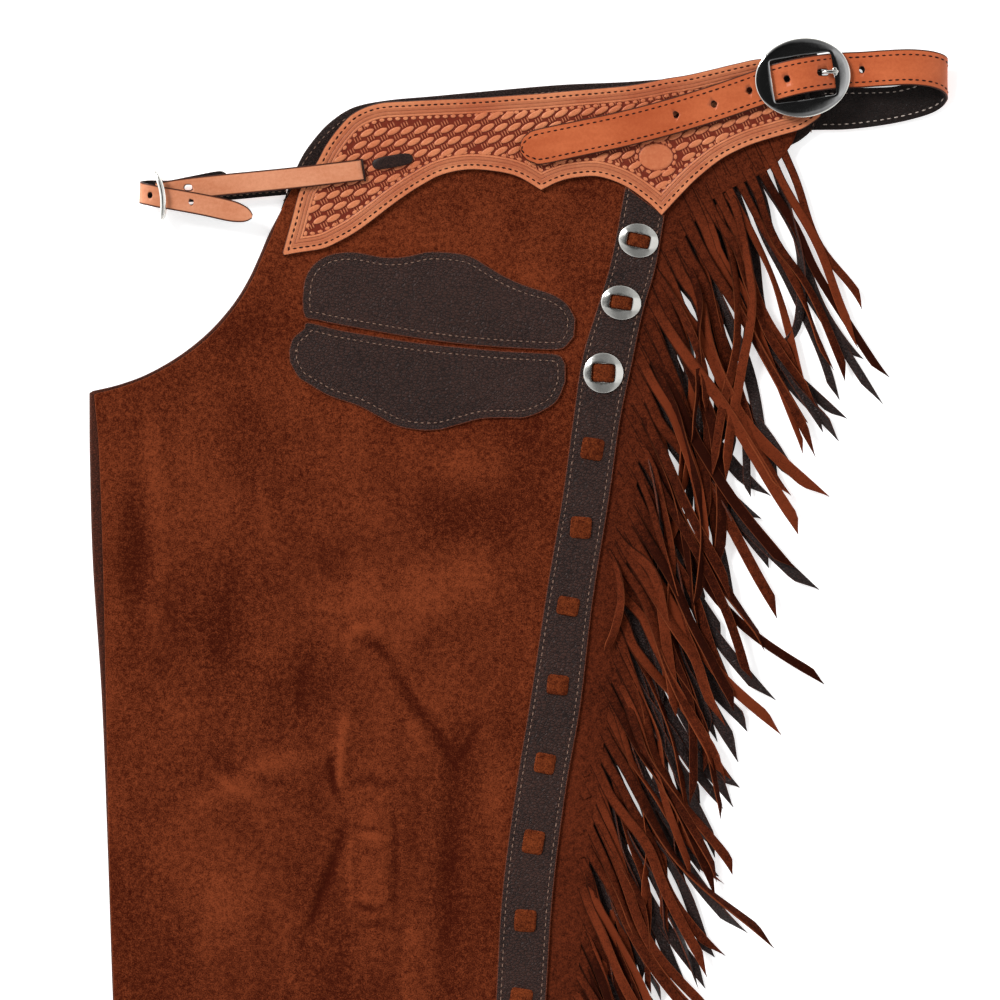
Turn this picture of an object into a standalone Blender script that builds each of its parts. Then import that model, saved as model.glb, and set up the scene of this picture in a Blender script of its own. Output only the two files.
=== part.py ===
"""Fringed rough-out leather chaps, folded in half and lying flat.

The pair is folded so that one leg lies on the other with its outside up: the waist is at +Y,
the front of the leg at -X, and the outseam with its fringe at +X.  Every cut piece is its own
closed solid.  Outlines are tables of sections in plan units (see UNIT), x to the right and
y down the leg; heights and thicknesses are in millimetres above the floor.
"""
import math
import random
from collections import namedtuple

import bmesh
import bpy
from mathutils import Vector

for leftover in list(bpy.data.objects):
    bpy.data.objects.remove(leftover, do_unlink=True)

# ------------------------------------------------------------------ driving dimensions
MM = 0.001
UNIT = 0.78 * MM            # one plan unit: the belt is 36 units (28 mm) wide
PLAN_CENTRE = 500.0         # plan position of x = y = 0
GAP = 0.3                   # clear gap between pieces that touch

UNDER_TOP = 5.5             # hidden layers of both legs, pressed flat
LEATHER = 2.2               # suede side leather of the leg
PANEL_LOW = UNDER_TOP + GAP
PANEL_TOP = PANEL_LOW + LEATHER
TRIM_LOW = PANEL_TOP + GAP
POCKET_THICK = 1.4
STRIP_THICK = 1.8
STRIP_TOP = TRIM_LOW + STRIP_THICK
YOKE_THICK = 3.0
YOKE_TOP = TRIM_LOW + YOKE_THICK
THONG = (32.0, 9.6)         # dark thong laced through the yoke beside the tie
THONG_RISE = 2.4
HEM = 1415.0                # plan y of the leg's lower edge

BELT_WIDTH = 28.0
BELT_FACE = 1.7
BELT_LINING = 1.2
HOLE_RADIUS = 2.3
TIE_WIDTH = 16.8            # the narrow straps that join the two fronts
TIE_FACE = 1.3
TIE_LINING = 1.0

CONCHO_RADIUS = 31.75 / 2
CONCHO_RISE = 2.2
LACE_TAB = (17.0, 18.0)
LACE_TAB_RISE = 1.6
FIRST_TAB = 449.0           # plan y of the top lace tab
TAB_SPACING = 78.6
TAB_COUNT = 13

STRAND_THICK = 1.2
DECK_STEP = STRAND_THICK + GAP
PATH_STEPS = 16             # steps into which a strand's path is worked out

Rows = namedtuple("Rows", "ax ay bx by")


# ------------------------------------------------------------------ small helpers
def plan(x, y):
    """Plan units to metres, +Y towards the waist."""
    return Vector(((x - PLAN_CENTRE) * UNIT, (PLAN_CENTRE - y) * UNIT))


def smoothstep(low, high, value):
    share = min(max((value - low) / (high - low), 0.0), 1.0)
    return share * share * (3.0 - 2.0 * share)


def spline(rows, steps):
    """Catmull-Rom through rows of numbers, with `steps` rows made for each interval."""
    rows = [tuple(float(value) for value in row) for row in rows]
    made = []
    for index in range(len(rows) - 1):
        start, end = rows[index], rows[index + 1]
        before = rows[index - 1] if index else [2 * a - b for a, b in zip(start, end)]
        after = rows[index + 2] if index + 2 < len(rows) else [2 * b - a for a, b in zip(start, end)]
        for step in range(steps):
            t = step / steps
            made.append(tuple(
                0.5 * (2 * b + (c - a) * t + (2 * a - 5 * b + 4 * c - d) * t * t
                       + (3 * b - a - 3 * c + d) * t ** 3)
                for a, b, c, d in zip(before, start, end, after)))
    made.append(rows[-1])
    return made


def at_station(rows, column, value):
    """The row, by straight interpolation, where one column reaches a value."""
    for low, high in zip(rows, rows[1:]):
        if low[column] <= value <= high[column]:
            t = (value - low[column]) / (high[column] - low[column])
            return tuple(a + (b - a) * t for a, b in zip(low, high))
    raise ValueError("no such station")


def leather(name, colour, roughness, metallic=0.0):
    material = bpy.data.materials.new(name)
    material.use_nodes = True
    shader = material.node_tree.nodes["Principled BSDF"]
    shader.inputs["Base Color"].default_value = (*colour, 1.0)
    shader.inputs["Roughness"].default_value = roughness
    shader.inputs["Metallic"].default_value = metallic
    return material


SUEDE = leather("rough_out_suede", (0.13, 0.03, 0.008), 0.95)
REVERSE = leather("dark_reverse", (0.035, 0.02, 0.016), 0.6)
GRAIN = leather("dark_grain_leather", (0.04, 0.023, 0.018), 0.55)
SKIRTING = leather("tooled_tan_leather", (0.50, 0.16, 0.055), 0.45)
SILVER = leather("polished_silver", (0.80, 0.80, 0.78), 0.15, 1.0)

pieces = []


def add_piece(name, points, faces, material, cutter=False):
    """A named closed solid from points in metres, its faces turned outwards."""
    mesh = bpy.data.meshes.new(name)
    mesh.from_pydata([tuple(point) for point in points], [], faces)
    shaped = bmesh.new()
    shaped.from_mesh(mesh)
    bmesh.ops.recalc_face_normals(shaped, faces=shaped.faces)
    if shaped.calc_volume(signed=True) < 0.0:
        bmesh.ops.reverse_faces(shaped, faces=shaped.faces)
    shaped.to_mesh(mesh)
    shaped.free()
    mesh.set_sharp_from_angle(angle=math.radians(40))
    mesh.materials.append(material)
    piece = bpy.data.objects.new(name, mesh)
    bpy.context.scene.collection.objects.link(piece)
    if cutter:
        piece.hide_render = True
        piece.display_type = "WIRE"
    pieces.append(piece)
    return piece


def boolean(piece, tool, operation):
    modifier = piece.modifiers.new(operation.lower(), "BOOLEAN")
    modifier.operation = operation
    modifier.solver = "EXACT"
    modifier.object = tool


def loft(rings):
    """Faces of a tube through rings of equal size, closed by a flat face at each end."""
    size = len(rings[0])
    faces = []
    for index in range(len(rings) - 1):
        low, high = index * size, (index + 1) * size
        for corner in range(size):
            after = (corner + 1) % size
            faces.append((low + corner, low + after, high + after, high + corner))
    faces.append(tuple(range(size)))
    faces.append(tuple(range((len(rings) - 1) * size, len(rings) * size)))
    return faces


def lofted_piece(name, rings, material, cutter=False):
    points = [point for ring in rings for point in ring]
    return add_piece(name, points, loft(rings), material, cutter)


def sheet(name, rows, shares, low, high, material):
    """A closed wall across sections.

    Each section runs from its a end to its b end; shares says where points lie along it, and
    low and high give the wall's two heights in mm for a point, from its place in metres.
    """
    count = len(shares)
    points = []
    for row in rows:
        start, end = plan(row[0], row[1]), plan(row[2], row[3])
        flat = [start.lerp(end, share) for share in shares]
        points += [(p.x, p.y, high(p) * MM) for p in flat]
        points += [(p.x, p.y, low(p) * MM) for p in flat]
    faces = []
    for index in range(len(rows) - 1):
        near, far = index * 2 * count, (index + 1) * 2 * count
        for step in range(count - 1):
            faces.append((near + step, near + step + 1, far + step + 1, far + step))
            under, beyond = near + count + step, far + count + step
            faces.append((under, beyond, beyond + 1, under + 1))
        for edge in (0, count - 1):
            faces.append((near + edge, far + edge, far + count + edge, near + count + edge))
    for end in (0, (len(rows) - 1) * 2 * count):
        for step in range(count - 1):
            top, under = end + step, end + count + step
            faces.append((top, top + 1, under + 1, under))
    return add_piece(name, points, faces, material)


def even(count):
    return [step / count for step in range(count + 1)]


def flat_at(height):
    return lambda place: height


# ------------------------------------------------------------------ outlines, in plan units
# The leg, from its front edge (a) to the outseam under the side strip (b).
RISE = [Rows(306, 168, 794, 98), Rows(295, 184, 776, 124), Rows(283, 206, 737, 146),
        Rows(273, 232, 690, 180), Rows(264, 253, 650, 214), Rows(252, 280, 634, 262),
        Rows(236, 306, 620, 306), Rows(212, 334, 611, 343), Rows(182, 358, 604, 374),
        Rows(148, 377, 600, 394), Rows(118, 388, 597, 412), Rows(94, 394, 593, 436)]
LEG = [Rows(94, 394, 593, 436), Rows(99, 452, 586, 490), Rows(103, 564, 570, 596),
       Rows(106, 700, 556, 702), Rows(109, 853, 534, 846), Rows(114, 1000, 521, 1000),
       Rows(122, 1200, 508.5, 1200), Rows(131, HEM, 498, HEM)]
# The hidden layers reach a little further than the top leg along its front edge.
UNDER_EDGE = [(282, 208), (269, 233), (260, 254), (248.5, 279), (233, 304), (209.5, 331),
              (180, 355), (147, 374), (117, 385), (89, 391.5), (89.5, 460), (92.5, 564),
              (101.5, 700), (107.5, 853), (112.5, 1000), (121, 1200), (130, HEM)]
# Yoke sections, from the waist edge (a) to the lower edge (b); corners start a new table.
YOKE_FRONT = [Rows(282.6, 252.5, 283.5, 255.8), Rows(291, 222, 300, 252.8), Rows(299.5, 191, 323, 249),
              Rows(309, 175, 340, 241.5), Rows(318, 160, 356, 232.5), Rows(326, 145, 372, 221),
              Rows(338.5, 128, 388, 208.6), Rows(354, 113, 404, 197), Rows(378, 103.5, 421, 186),
              Rows(410, 101, 442.6, 175), Rows(440, 99.5, 468.6, 170), Rows(475, 98, 497, 172),
              Rows(510, 95.5, 518.5, 177.5), Rows(543, 93.3, 541, 190.6)]
YOKE_ARCH = [Rows(543, 93.3, 541, 190.6), Rows(570, 90.8, 559, 182), Rows(592, 89, 577, 177.8),
             Rows(611, 87.3, 599, 177.2), Rows(629, 85.5, 624, 186), Rows(647, 82.5, 647, 202),
             Rows(666, 78.5, 661.5, 216)]
YOKE_BACK = [Rows(666, 78.5, 661.5, 216), Rows(688, 75, 679, 197), Rows(712, 69.5, 698, 178),
             Rows(737, 63.5, 723, 158.5), Rows(760, 59, 751, 145), Rows(784, 60, 780, 136),
             Rows(806, 71, 800, 130), Rows(820, 89, 812.7, 122.7), Rows(825.5, 106, 820, 117)]
UNDER_YOKE = [Rows(292, 192, 286, 205), Rows(299.5, 161, 306, 202), Rows(312.5, 141, 332, 199),
              Rows(330, 122, 360, 195), Rows(354, 107, 388, 191), Rows(388, 100, 418, 187),
              Rows(432, 96, 455, 182), Rows(497, 90, 510, 175), Rows(562, 84.5, 570, 167),
              Rows(620, 82, 625, 160), Rows(657, 79.4, 662, 155), Rows(690, 77, 694, 151),
              Rows(740, 68, 730, 147), Rows(786, 72, 756, 145.5), Rows(810, 90, 779, 149),
              Rows(819, 112, 797, 142), Rows(814, 128, 807, 135)]
SIDE_STRIP = [Rows(625, 190, 664.5, 219.5), Rows(611, 260, 656, 266), Rows(597, 308, 643, 312),
              Rows(582, 358, 632, 364), Rows(573, 418, 620, 422), Rows(562, 498, 608.5, 503),
              Rows(546, 594, 593, 600), Rows(530, 700, 580.5, 706), Rows(516, 786, 566, 790),
              Rows(502, 893, 553, 893), Rows(495.7, 1000, 546, 1000), Rows(484, 1200, 533, 1200),
              Rows(474, HEM - 3, 522, HEM - 3)]
POCKET_UPPER = [Rows(302.3, 299, 302.8, 311), Rows(305, 279, 306, 318), Rows(314, 264, 316, 320),
                Rows(330, 254.5, 332, 323.5), Rows(354, 252, 356, 328), Rows(383, 257, 384, 333),
                Rows(405, 256.5, 405, 336.5), Rows(428, 251.8, 428, 340), Rows(451, 252.5, 451, 343),
                Rows(470, 256, 470, 345), Rows(489, 267, 489, 346.5), Rows(506, 277, 506, 347.8),
                Rows(527, 286, 527, 349), Rows(552, 294, 550, 350), Rows(567, 304, 564, 348),
                Rows(575.5, 318, 574, 337)]
POCKET_LOWER = [Rows(289, 350, 289.5, 362), Rows(293, 338, 298, 377), Rows(303.5, 329, 309, 384.5),
                Rows(308, 322.5, 329, 396), Rows(338, 329.5, 358, 406), Rows(372, 335.5, 377, 416),
                Rows(396, 339.5, 396, 425.7), Rows(417, 342.5, 417, 430), Rows(438, 345, 438, 430),
                Rows(460, 347, 459, 424.7), Rows(481, 349, 481, 419), Rows(502, 350.8, 502, 418),
                Rows(523, 352, 523, 418), Rows(543, 353, 541, 412), Rows(559, 355, 557, 401),
                Rows(565.5, 364, 565.5, 382)]
# Where the fringe's cuts start, from under the yoke down to near the hem.
CUT_LINE = [(790, 147), (771, 168), (744, 182), (712, 200), (688, 232), (672, 262), (662, 300), (651, 355),
            (644, 406), (639, 456), (634, 508), (621, 600), (609, 702), (591, 846), (576, 1000),
            (562, 1200), (552, 1350)]
# Upper end of the lower fringe's backing, which stops short of the yoke beneath it.
UNDER_BACKING_END = [(776, 152.5), (757, 150.5)]

# Folds of the top leg: place, half length down the leg and half width (plan units), lean from
# the leg's line in degrees, and height in mm, negative for a trough.
Fold = namedtuple("Fold", "x y length width lean height")
FOLDS = [Fold(137, 540, 95, 16, 2, -1.2), Fold(345, 745, 60, 13, 4, 1.6),
         Fold(378, 850, 88, 24, 2, 1.3), Fold(450, 860, 125, 15, 3, -1.3),
         Fold(238, 792, 42, 12, 62, 1.1), Fold(395, 632, 30, 60, 0, 1.0),
         Fold(160, 1010, 120, 26, -6, -1.1), Fold(300, 1130, 110, 22, 8, 1.5),
         Fold(420, 1220, 120, 18, -4, -1.2), Fold(225, 1290, 70, 26, 14, 1.3)]
LOFT = 1.4                  # how far the resting panel stands off the layers below


def panel_lift(place):
    """Height in mm of the top panel above where it would lie dead flat."""
    x = place.x / UNIT + PLAN_CENTRE
    y = PLAN_CENTRE - place.y / UNIT
    strip_left = at_station(STRIP_ROWS, 1, min(max(y, 191), HEM - 4))[0]
    fade = smoothstep(446, 540, y) * smoothstep(0, 44, strip_left - 6 - x)
    front = smoothstep(92, 140, x)
    height = LOFT * front
    for fold in FOLDS:
        lean = math.radians(fold.lean)
        along = (y - fold.y) * math.cos(lean) - (x - fold.x) * math.sin(lean)
        across = (x - fold.x) * math.cos(lean) + (y - fold.y) * math.sin(lean)
        height += fold.height * math.exp(-(along / fold.length) ** 2 - (across / fold.width) ** 2)
    return max(height, 0.0) * fade


def panel_low(place):
    return PANEL_LOW + panel_lift(place)


def panel_high(place):
    return PANEL_TOP + panel_lift(place)


STRIP_ROWS = spline(SIDE_STRIP, 4)
LEG_ROWS = spline(RISE, 1)[:-1] + spline(LEG, 4)
# The hidden layers share the outseam, but start below the yoke of the leg beneath.
UNDER_TOP_ROW = 2
UNDER_START = (734, 151)
UNDER_CORNERS = [(*edge, row.bx, row.by) for edge, row in zip(UNDER_EDGE, RISE[UNDER_TOP_ROW:] + LEG[1:])]
UNDER_CORNERS[0] = (*UNDER_EDGE[0], *UNDER_START)
CROTCH = len(RISE) - 1 - UNDER_TOP_ROW
UNDER_ROWS = UNDER_CORNERS[:CROTCH] + spline(UNDER_CORNERS[CROTCH:], 4)


# ------------------------------------------------------------------ hidden layers
def under_leg():
    """The other leg and the hidden half of this one: one solid with two lips at its front."""
    lips = [(1.2, 0.0), (0.0, 0.8), (0.1, 2.2), (1.7, 2.6), (1.5, 3.1), (2.6, 5.0), (6.5, UNDER_TOP)]
    rings = []
    for ax, ay, bx, by in UNDER_ROWS:
        start, end = plan(ax, ay), plan(bx, by)
        across = (end - start).normalized() * MM
        ring = [(start + across * inset, height) for inset, height in lips]
        ring += [(end, UNDER_TOP), (end, 0.0)]
        rings.append([(point.x, point.y, height * MM) for point, height in ring])
    return lofted_piece("under_leg", rings, REVERSE)


def under_yoke():
    rows = spline(UNDER_YOKE, 1)
    rings = []
    for ax, ay, bx, by in rows:
        start, end = plan(ax, ay), plan(bx, by)
        across = (end - start).normalized() * MM
        ring = [(start + across * 0.8, 0.0), (start, 0.8), (start, UNDER_TOP - 0.8),
                (start + across * 0.8, UNDER_TOP), (end, UNDER_TOP), (end, 0.0)]
        rings.append([(point.x, point.y, height * MM) for point, height in ring])
    return lofted_piece("under_yoke", rings, REVERSE)


# ------------------------------------------------------------------ fringe
# How strands lie along the edge: plan y of the root, reach of the tip to the right and down,
# and the share by which neighbours differ.
Hang = namedtuple("Hang", "y reach drop spread")
HANGS = [Hang(147, 78, 170, 0.03), Hang(175, 112, 205, 0.12), Hang(215, 118, 228, 0.16),
         Hang(300, 128, 238, 0.18), Hang(400, 128, 226, 0.18), Hang(500, 126, 222, 0.18),
         Hang(640, 112, 214, 0.18), Hang(760, 112, 214, 0.18), Hang(1000, 112, 218, 0.18),
         Hang(1180, 100, 190, 0.15), Hang(1352, 46, 88, 0.10)]


def seam_rail(ends):
    """The outseam's points, moved out by a gap, down to where the fringe ends."""
    places = [plan(x, y) for x, y in ends if y <= CUT_LINE[-1][1]]
    rail = []
    for index, place in enumerate(places):
        run = places[min(index + 1, len(places) - 1)] - places[max(index - 1, 0)]
        out = Vector((-run.y, run.x)).normalized()
        rail.append(place + out * GAP * 1.3 * MM)
    return rail


def root_line(ends, shift):
    """Points down the cut line, with their distance along it in mm."""
    line = []
    length = 0.0
    for x, y in ends:
        place = plan(x + shift, y)
        if line:
            length += (place - line[-1][1]).length / MM
        line.append((length, place))
    return line


def along_line(line, distance):
    for (low, start), (high, end) in zip(line, line[1:]):
        if distance <= high:
            return start.lerp(end, (distance - low) / (high - low))
    return line[-1][1]


def strand_path(root, reach, stray, bow):
    """Places from root to tip: straight out at first, then off to its own side.

    Reach is the lie of the fringe there, stray how far the tip ends from it, and bow the
    sideways swing in mm.
    """
    side = Vector((reach.y, -reach.x)).normalized() * MM
    places = []
    for step in range(PATH_STEPS + 1):
        t = step / PATH_STEPS
        swing = bow * math.sin(math.pi * t) * t * t
        places.append(root + reach * t + stray * t * t + side * swing)
    return places


def clear_of(path, others, spacing):
    """Whether a strand keeps its distance from others, past the shared root."""
    for other in others:
        for index, place in enumerate(path):
            for step, (near, far) in enumerate(zip(other, other[1:])):
                if index < 2 and step < 2:
                    continue
                span = far - near
                share = min(max((place - near).dot(span) / span.dot(span), 0.0), 1.0)
                if (place - near - span * share).length < spacing:
                    return False
    return True


def settle(root, reach, stray, bow, decks, spacing):
    """A strand's path and deck; it hangs straighter and shorter until a deck has room for it."""
    for effort in range(9):
        ease = 0.7 ** effort
        path = strand_path(root, reach * (1.0 - 0.08 * effort), stray * ease, bow * ease)
        for deck, others in enumerate(decks):
            if clear_of(path, others, spacing):
                return path, deck
    raise ValueError("a strand has no room")


def lay_strands(line, settings):
    """Each strand's root, path, deck and half width: it takes the lowest deck that is free."""
    chance = random.Random(settings["seed"])
    total = line[-1][0]
    marks = [settings["start"]]
    while marks[-1] < total - settings["end"]:
        here = along_line(line, marks[-1])
        ahead = along_line(line, marks[-1] + 4.0)
        slope = abs((ahead - here).normalized().y)
        marks.append(marks[-1] + settings["width"] * (1.0 + 0.62 * slope ** 3))
    strands = []
    decks = [[] for deck in range(settings["decks"])]
    for low, high in zip(marks, marks[1:]):
        low_root = along_line(line, low + settings["slit"] / 2)
        high_root = along_line(line, high - settings["slit"] / 2)
        root = (low_root + high_root) / 2
        y = PLAN_CENTRE - root.y / UNIT
        hang = at_station(HANGS, 0, min(max(y, 147), 1352))
        reach = Vector((hang[1], -hang[2])) * UNIT * settings["length"]
        stray = reach * hang[3] * chance.uniform(-1, 1)
        stray += Vector((reach.y, -reach.x)) * 0.8 * hang[3] * chance.uniform(-1, 1)
        bow = chance.uniform(-20, 20)
        heading = reach.normalized()
        edge = (high_root - low_root).normalized()
        width = abs(edge.cross(heading)) * (high_root - low_root).length
        spacing = width * 1.25 + 0.8 * MM
        path, deck = settle(root, reach, stray, bow, decks, spacing)
        decks[deck].append(path)
        strands.append((low_root, high_root, path, deck, width / 2))
    return strands


def fringe_piece(name, inner, line, settings, material):
    """A backing with its strands as one closed solid, each strand leaving its own root."""
    strands = lay_strands(line, settings)
    points = []
    faces = []

    def add(place, height):
        points.append((place.x, place.y, height * MM))
        return len(points) - 1

    outer_low = settings["root_low"]
    outer_high = settings["root_high"]
    inner_rail = [(add(place, settings["inner_low"]), add(place, settings["inner_high"])) for place in inner]
    outer_rail = []
    roots = []
    first, last = line[0][1], line[-1][1]
    outer_rail.append((add(first, outer_low), add(first, outer_high)))
    for low_root, high_root, path, deck, half in strands:
        left = (add(low_root, outer_low), add(low_root, outer_high))
        right = (add(high_root, outer_low), add(high_root, outer_high))
        roots.append((left, right, path, deck, half))
        outer_rail += [left, right]
    outer_rail.append((add(last, outer_low), add(last, outer_high)))

    for rail in (inner_rail, outer_rail):
        for near, far in zip(rail, rail[1:]):
            if any(near is root[0] and far is root[1] for root in roots):
                continue
            faces.append((near[0], far[0], far[1], near[1]))
    for level in (0, 1):
        faces += bridge([pair[level] for pair in inner_rail], [pair[level] for pair in outer_rail], points)
    for end in (0, -1):
        near, far = inner_rail[end], outer_rail[end]
        faces.append((near[0], far[0], far[1], near[1]))

    for left, right, path, deck, half in roots:
        ring = [left[0], right[0], right[1], left[1]]
        level = settings["deck_low"] + deck * DECK_STEP
        for step in settings["bends"]:
            before, after = path[max(step - 1, 0)], path[min(step + 1, PATH_STEPS)]
            heading = (after - before).normalized()
            waist = 0.80 if step == settings["bends"][0] else 1.0
            side = Vector((-heading.y, heading.x)) * half * waist
            cut = heading * half * (0.9 if step == PATH_STEPS else 0.0)
            low = level
            high = level + STRAND_THICK
            near = path[step] + side + cut
            far = path[step] - side - cut
            made = [add(near, low), add(far, low), add(far, high), add(near, high)]
            for corner in range(4):
                after_corner = (corner + 1) % 4
                faces.append((ring[corner], ring[after_corner], made[after_corner], made[corner]))
            ring = made
        faces.append(tuple(ring))
    return add_piece(name, points, faces, material)


def bridge(first, second, points):
    """Triangles between two rails of points that run side by side."""
    faces = []
    i = j = 0
    while i < len(first) - 1 or j < len(second) - 1:
        step_first = step_second = math.inf
        if i < len(first) - 1:
            step_first = (Vector(points[first[i + 1]]) - Vector(points[second[j]])).length
        if j < len(second) - 1:
            step_second = (Vector(points[second[j + 1]]) - Vector(points[first[i]])).length
        if step_first < step_second:
            faces.append((first[i], first[i + 1], second[j]))
            i += 1
        else:
            faces.append((first[i], second[j + 1], second[j]))
            j += 1
    return faces


TOP_FRINGE = dict(seed=11, start=0.8, end=13.0, width=9.6, slit=0.7, length=1.0, bends=(2, 5, 8, 12, 16),
                  root_low=PANEL_LOW, root_high=PANEL_TOP, inner_low=PANEL_LOW, inner_high=PANEL_TOP,
                  deck_low=0.4 + 3 * DECK_STEP, decks=4)
UNDER_FRINGE = dict(seed=5, start=1.5, end=13.0, width=12.2, slit=0.8, length=1.02, bends=(2, 6, 11, 16),
                    root_low=0.5, root_high=1.9, inner_low=0.0, inner_high=UNDER_TOP, deck_low=0.4, decks=3)


# ------------------------------------------------------------------ straps
Stop = namedtuple("Stop", "x y z angle width")


def strap_layer(name, stops, low, high, material):
    """A strap through stops: centre in plan units and mm, tilt of the width, and width in mm.

    Angle is that of the strap's width from straight across the path, in degrees; low and high
    are the layer's two faces, measured along the strap's own normal.
    """
    centres = [Vector((*plan(stop[0], stop[1]), stop[2] * MM)) for stop in stops]
    rings = []
    for index, stop in enumerate(stops):
        before = centres[max(index - 1, 0)]
        after = centres[min(index + 1, len(stops) - 1)]
        tangent = (after - before).normalized()
        turn = math.radians(stop[3])
        across = Vector((-math.sin(turn), math.cos(turn), 0.0))
        normal = tangent.cross(across).normalized()
        half = across * stop[4] / 2 * MM
        centre = centres[index]
        rings.append([centre + half + normal * low * MM, centre + half + normal * high * MM,
                      centre - half + normal * high * MM, centre - half + normal * low * MM])
    points = [point for ring in rings for point in ring]
    faces = [(0, 1, 2, 3), tuple(len(points) - 4 + corner for corner in range(4))]
    for near in range(0, len(points) - 4, 4):
        far = near + 4
        for corner in range(4):
            after = (corner + 1) % 4
            if corner in (0, 1):
                faces += [(near + corner, near + after, far + after), (near + corner, far + after, far + corner)]
            else:
                faces += [(near + corner, near + after, far + corner), (near + after, far + after, far + corner)]
    return add_piece(name, points, faces, material)


def lined_strap(name, stops, face, lining):
    """Tan leather lined with dark leather, as two layers a gap apart."""
    return (strap_layer(name, stops, 0.0, face, SKIRTING),
            strap_layer(name + "_lining", stops, -GAP - lining, -GAP, REVERSE))


def punch(strap, holes, low, high):
    """Round holes through a strap: plan x and y, and length in mm along x."""
    points = []
    faces = []
    sides = 8
    for x, y, length in holes:
        centre = plan(x, y)
        stretch = max(length / 2 - HOLE_RADIUS, 0.0)
        base = len(points)
        for height in (low, high):
            for corner in range(sides):
                angle = 2 * math.pi * (corner + 0.5) / sides
                shift = math.copysign(stretch, math.cos(angle))
                points.append((centre.x + (HOLE_RADIUS * math.cos(angle) + shift) * MM,
                               centre.y + HOLE_RADIUS * math.sin(angle) * MM, height * MM))
        rings = [list(range(base, base + sides)), list(range(base + sides, base + 2 * sides))]
        for corner in range(sides):
            after = (corner + 1) % sides
            faces.append((rings[0][corner], rings[0][after], rings[1][after], rings[1][corner]))
        faces.append(tuple(rings[0]))
        faces.append(tuple(rings[1]))
    cutter = add_piece(strap.name + "_holes", points, faces, SKIRTING, cutter=True)
    boolean(strap, cutter, "DIFFERENCE")


BELT_LOW = YOKE_TOP + GAP + BELT_LINING + GAP      # underside of the belt's tan face on the yoke
# The belt's free end, from its tip over the yoke, through the buckle and back to the other yoke.
BELT = [Stop(520.5, 150.5, BELT_LOW, 12, 5), Stop(524.5, 149.5, BELT_LOW, 12, 17),
        Stop(531, 148.5, BELT_LOW, 12, 24), Stop(540, 147, BELT_LOW, 12, BELT_WIDTH),
        Stop(580, 138.5, BELT_LOW, 12, BELT_WIDTH), Stop(620, 130, BELT_LOW, 13, BELT_WIDTH),
        Stop(665, 118.5, BELT_LOW, 15, BELT_WIDTH), Stop(713, 104, BELT_LOW, 18, BELT_WIDTH),
        Stop(742, 94, BELT_LOW + 0.4, 18, BELT_WIDTH), Stop(758, 88, BELT_LOW + 1.5, 18, BELT_WIDTH),
        Stop(771, 84, BELT_LOW + 1.9, 17, BELT_WIDTH), Stop(787, 79.5, BELT_LOW + 5.6, 14, BELT_WIDTH),
        Stop(803, 76, BELT_LOW + 7.4, 11, BELT_WIDTH), Stop(818, 73.5, BELT_LOW + 6.4, 9, BELT_WIDTH),
        Stop(833, 71.5, BELT_LOW + 1.9, 7, BELT_WIDTH), Stop(846, 70.6, BELT_LOW + 0.9, 4, BELT_WIDTH),
        Stop(862, 70, BELT_LOW + 1.2, 2, BELT_WIDTH), Stop(885, 68.5, BELT_LOW + 3.4, 1, BELT_WIDTH),
        Stop(908, 67.6, BELT_LOW + 4.2, -2, BELT_WIDTH), Stop(926, 68.8, BELT_LOW + 3.4, -5, BELT_WIDTH),
        Stop(938, 71.5, BELT_LOW + 1.0, -6, BELT_WIDTH), Stop(944.5, 75.5, BELT_LOW - 3.2, -4, BELT_WIDTH),
        Stop(945, 82, BELT_LOW - 8.2, 4, BELT_WIDTH), Stop(938.5, 89.5, BELT_LOW - 10.6, 10, BELT_WIDTH),
        Stop(925, 96.5, BELT_LOW - 11.1, 13, BELT_WIDTH), Stop(900, 103.5, BELT_LOW - 11.0, 12, BELT_WIDTH),
        Stop(872, 108.5, BELT_LOW - 10.8, 9, BELT_WIDTH), Stop(845, 111.5, BELT_LOW - 10.5, 5, BELT_WIDTH),
        Stop(825, 112.5, BELT_LOW - 10.4, 2, 25.5)]
BELT_HOLES = [(676, 115, 0), (713.8, 104.5, 0), (749.3, 91, 0), (786.5, 79.5, 0), (822.5, 73.0, 9.2),
              (861.8, 70.2, 0)]

TIE_LOW = YOKE_TOP + GAP + TIE_LINING + GAP
# Top leg's tie: its turned-under end, round the small buckle's bar, and back to the slit in the yoke.
FRONT_TIE = [Stop(229.5, 180.3, 10.4, 8, 5), Stop(226, 180.9, 10.4, 8, 13), Stop(219, 182, 10.4, 8, TIE_WIDTH),
             Stop(195, 186.5, 10.5, 7, TIE_WIDTH), Stop(175, 190.5, 10.6, 6, TIE_WIDTH),
             Stop(162, 193, 10.7, 8, TIE_WIDTH), Stop(159.4, 193, 11.5, 8, TIE_WIDTH),
             Stop(158.4, 193, 13.4, 8, TIE_WIDTH), Stop(159.4, 193, 15.3, 8, TIE_WIDTH),
             Stop(162, 193, 16.1, 8, TIE_WIDTH), Stop(172, 191.3, 15.8, 6, TIE_WIDTH),
             Stop(190, 188.8, TIE_LOW + 2.0, 7, TIE_WIDTH), Stop(220, 185.5, TIE_LOW + 1.4, 7, TIE_WIDTH),
             Stop(260, 181.6, TIE_LOW + 0.8, 7, TIE_WIDTH), Stop(300, 177.5, TIE_LOW + 0.4, 7, TIE_WIDTH),
             Stop(350, 171.6, TIE_LOW + 0.1, 9, TIE_WIDTH), Stop(359.0, 170.4, TIE_LOW, 10, TIE_WIDTH),
             Stop(362.0, 169.9, TIE_LOW - 1.4, 10, TIE_WIDTH), Stop(362.4, 169.8, TIE_LOW - 3.6, 10, TIE_WIDTH)]
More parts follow.
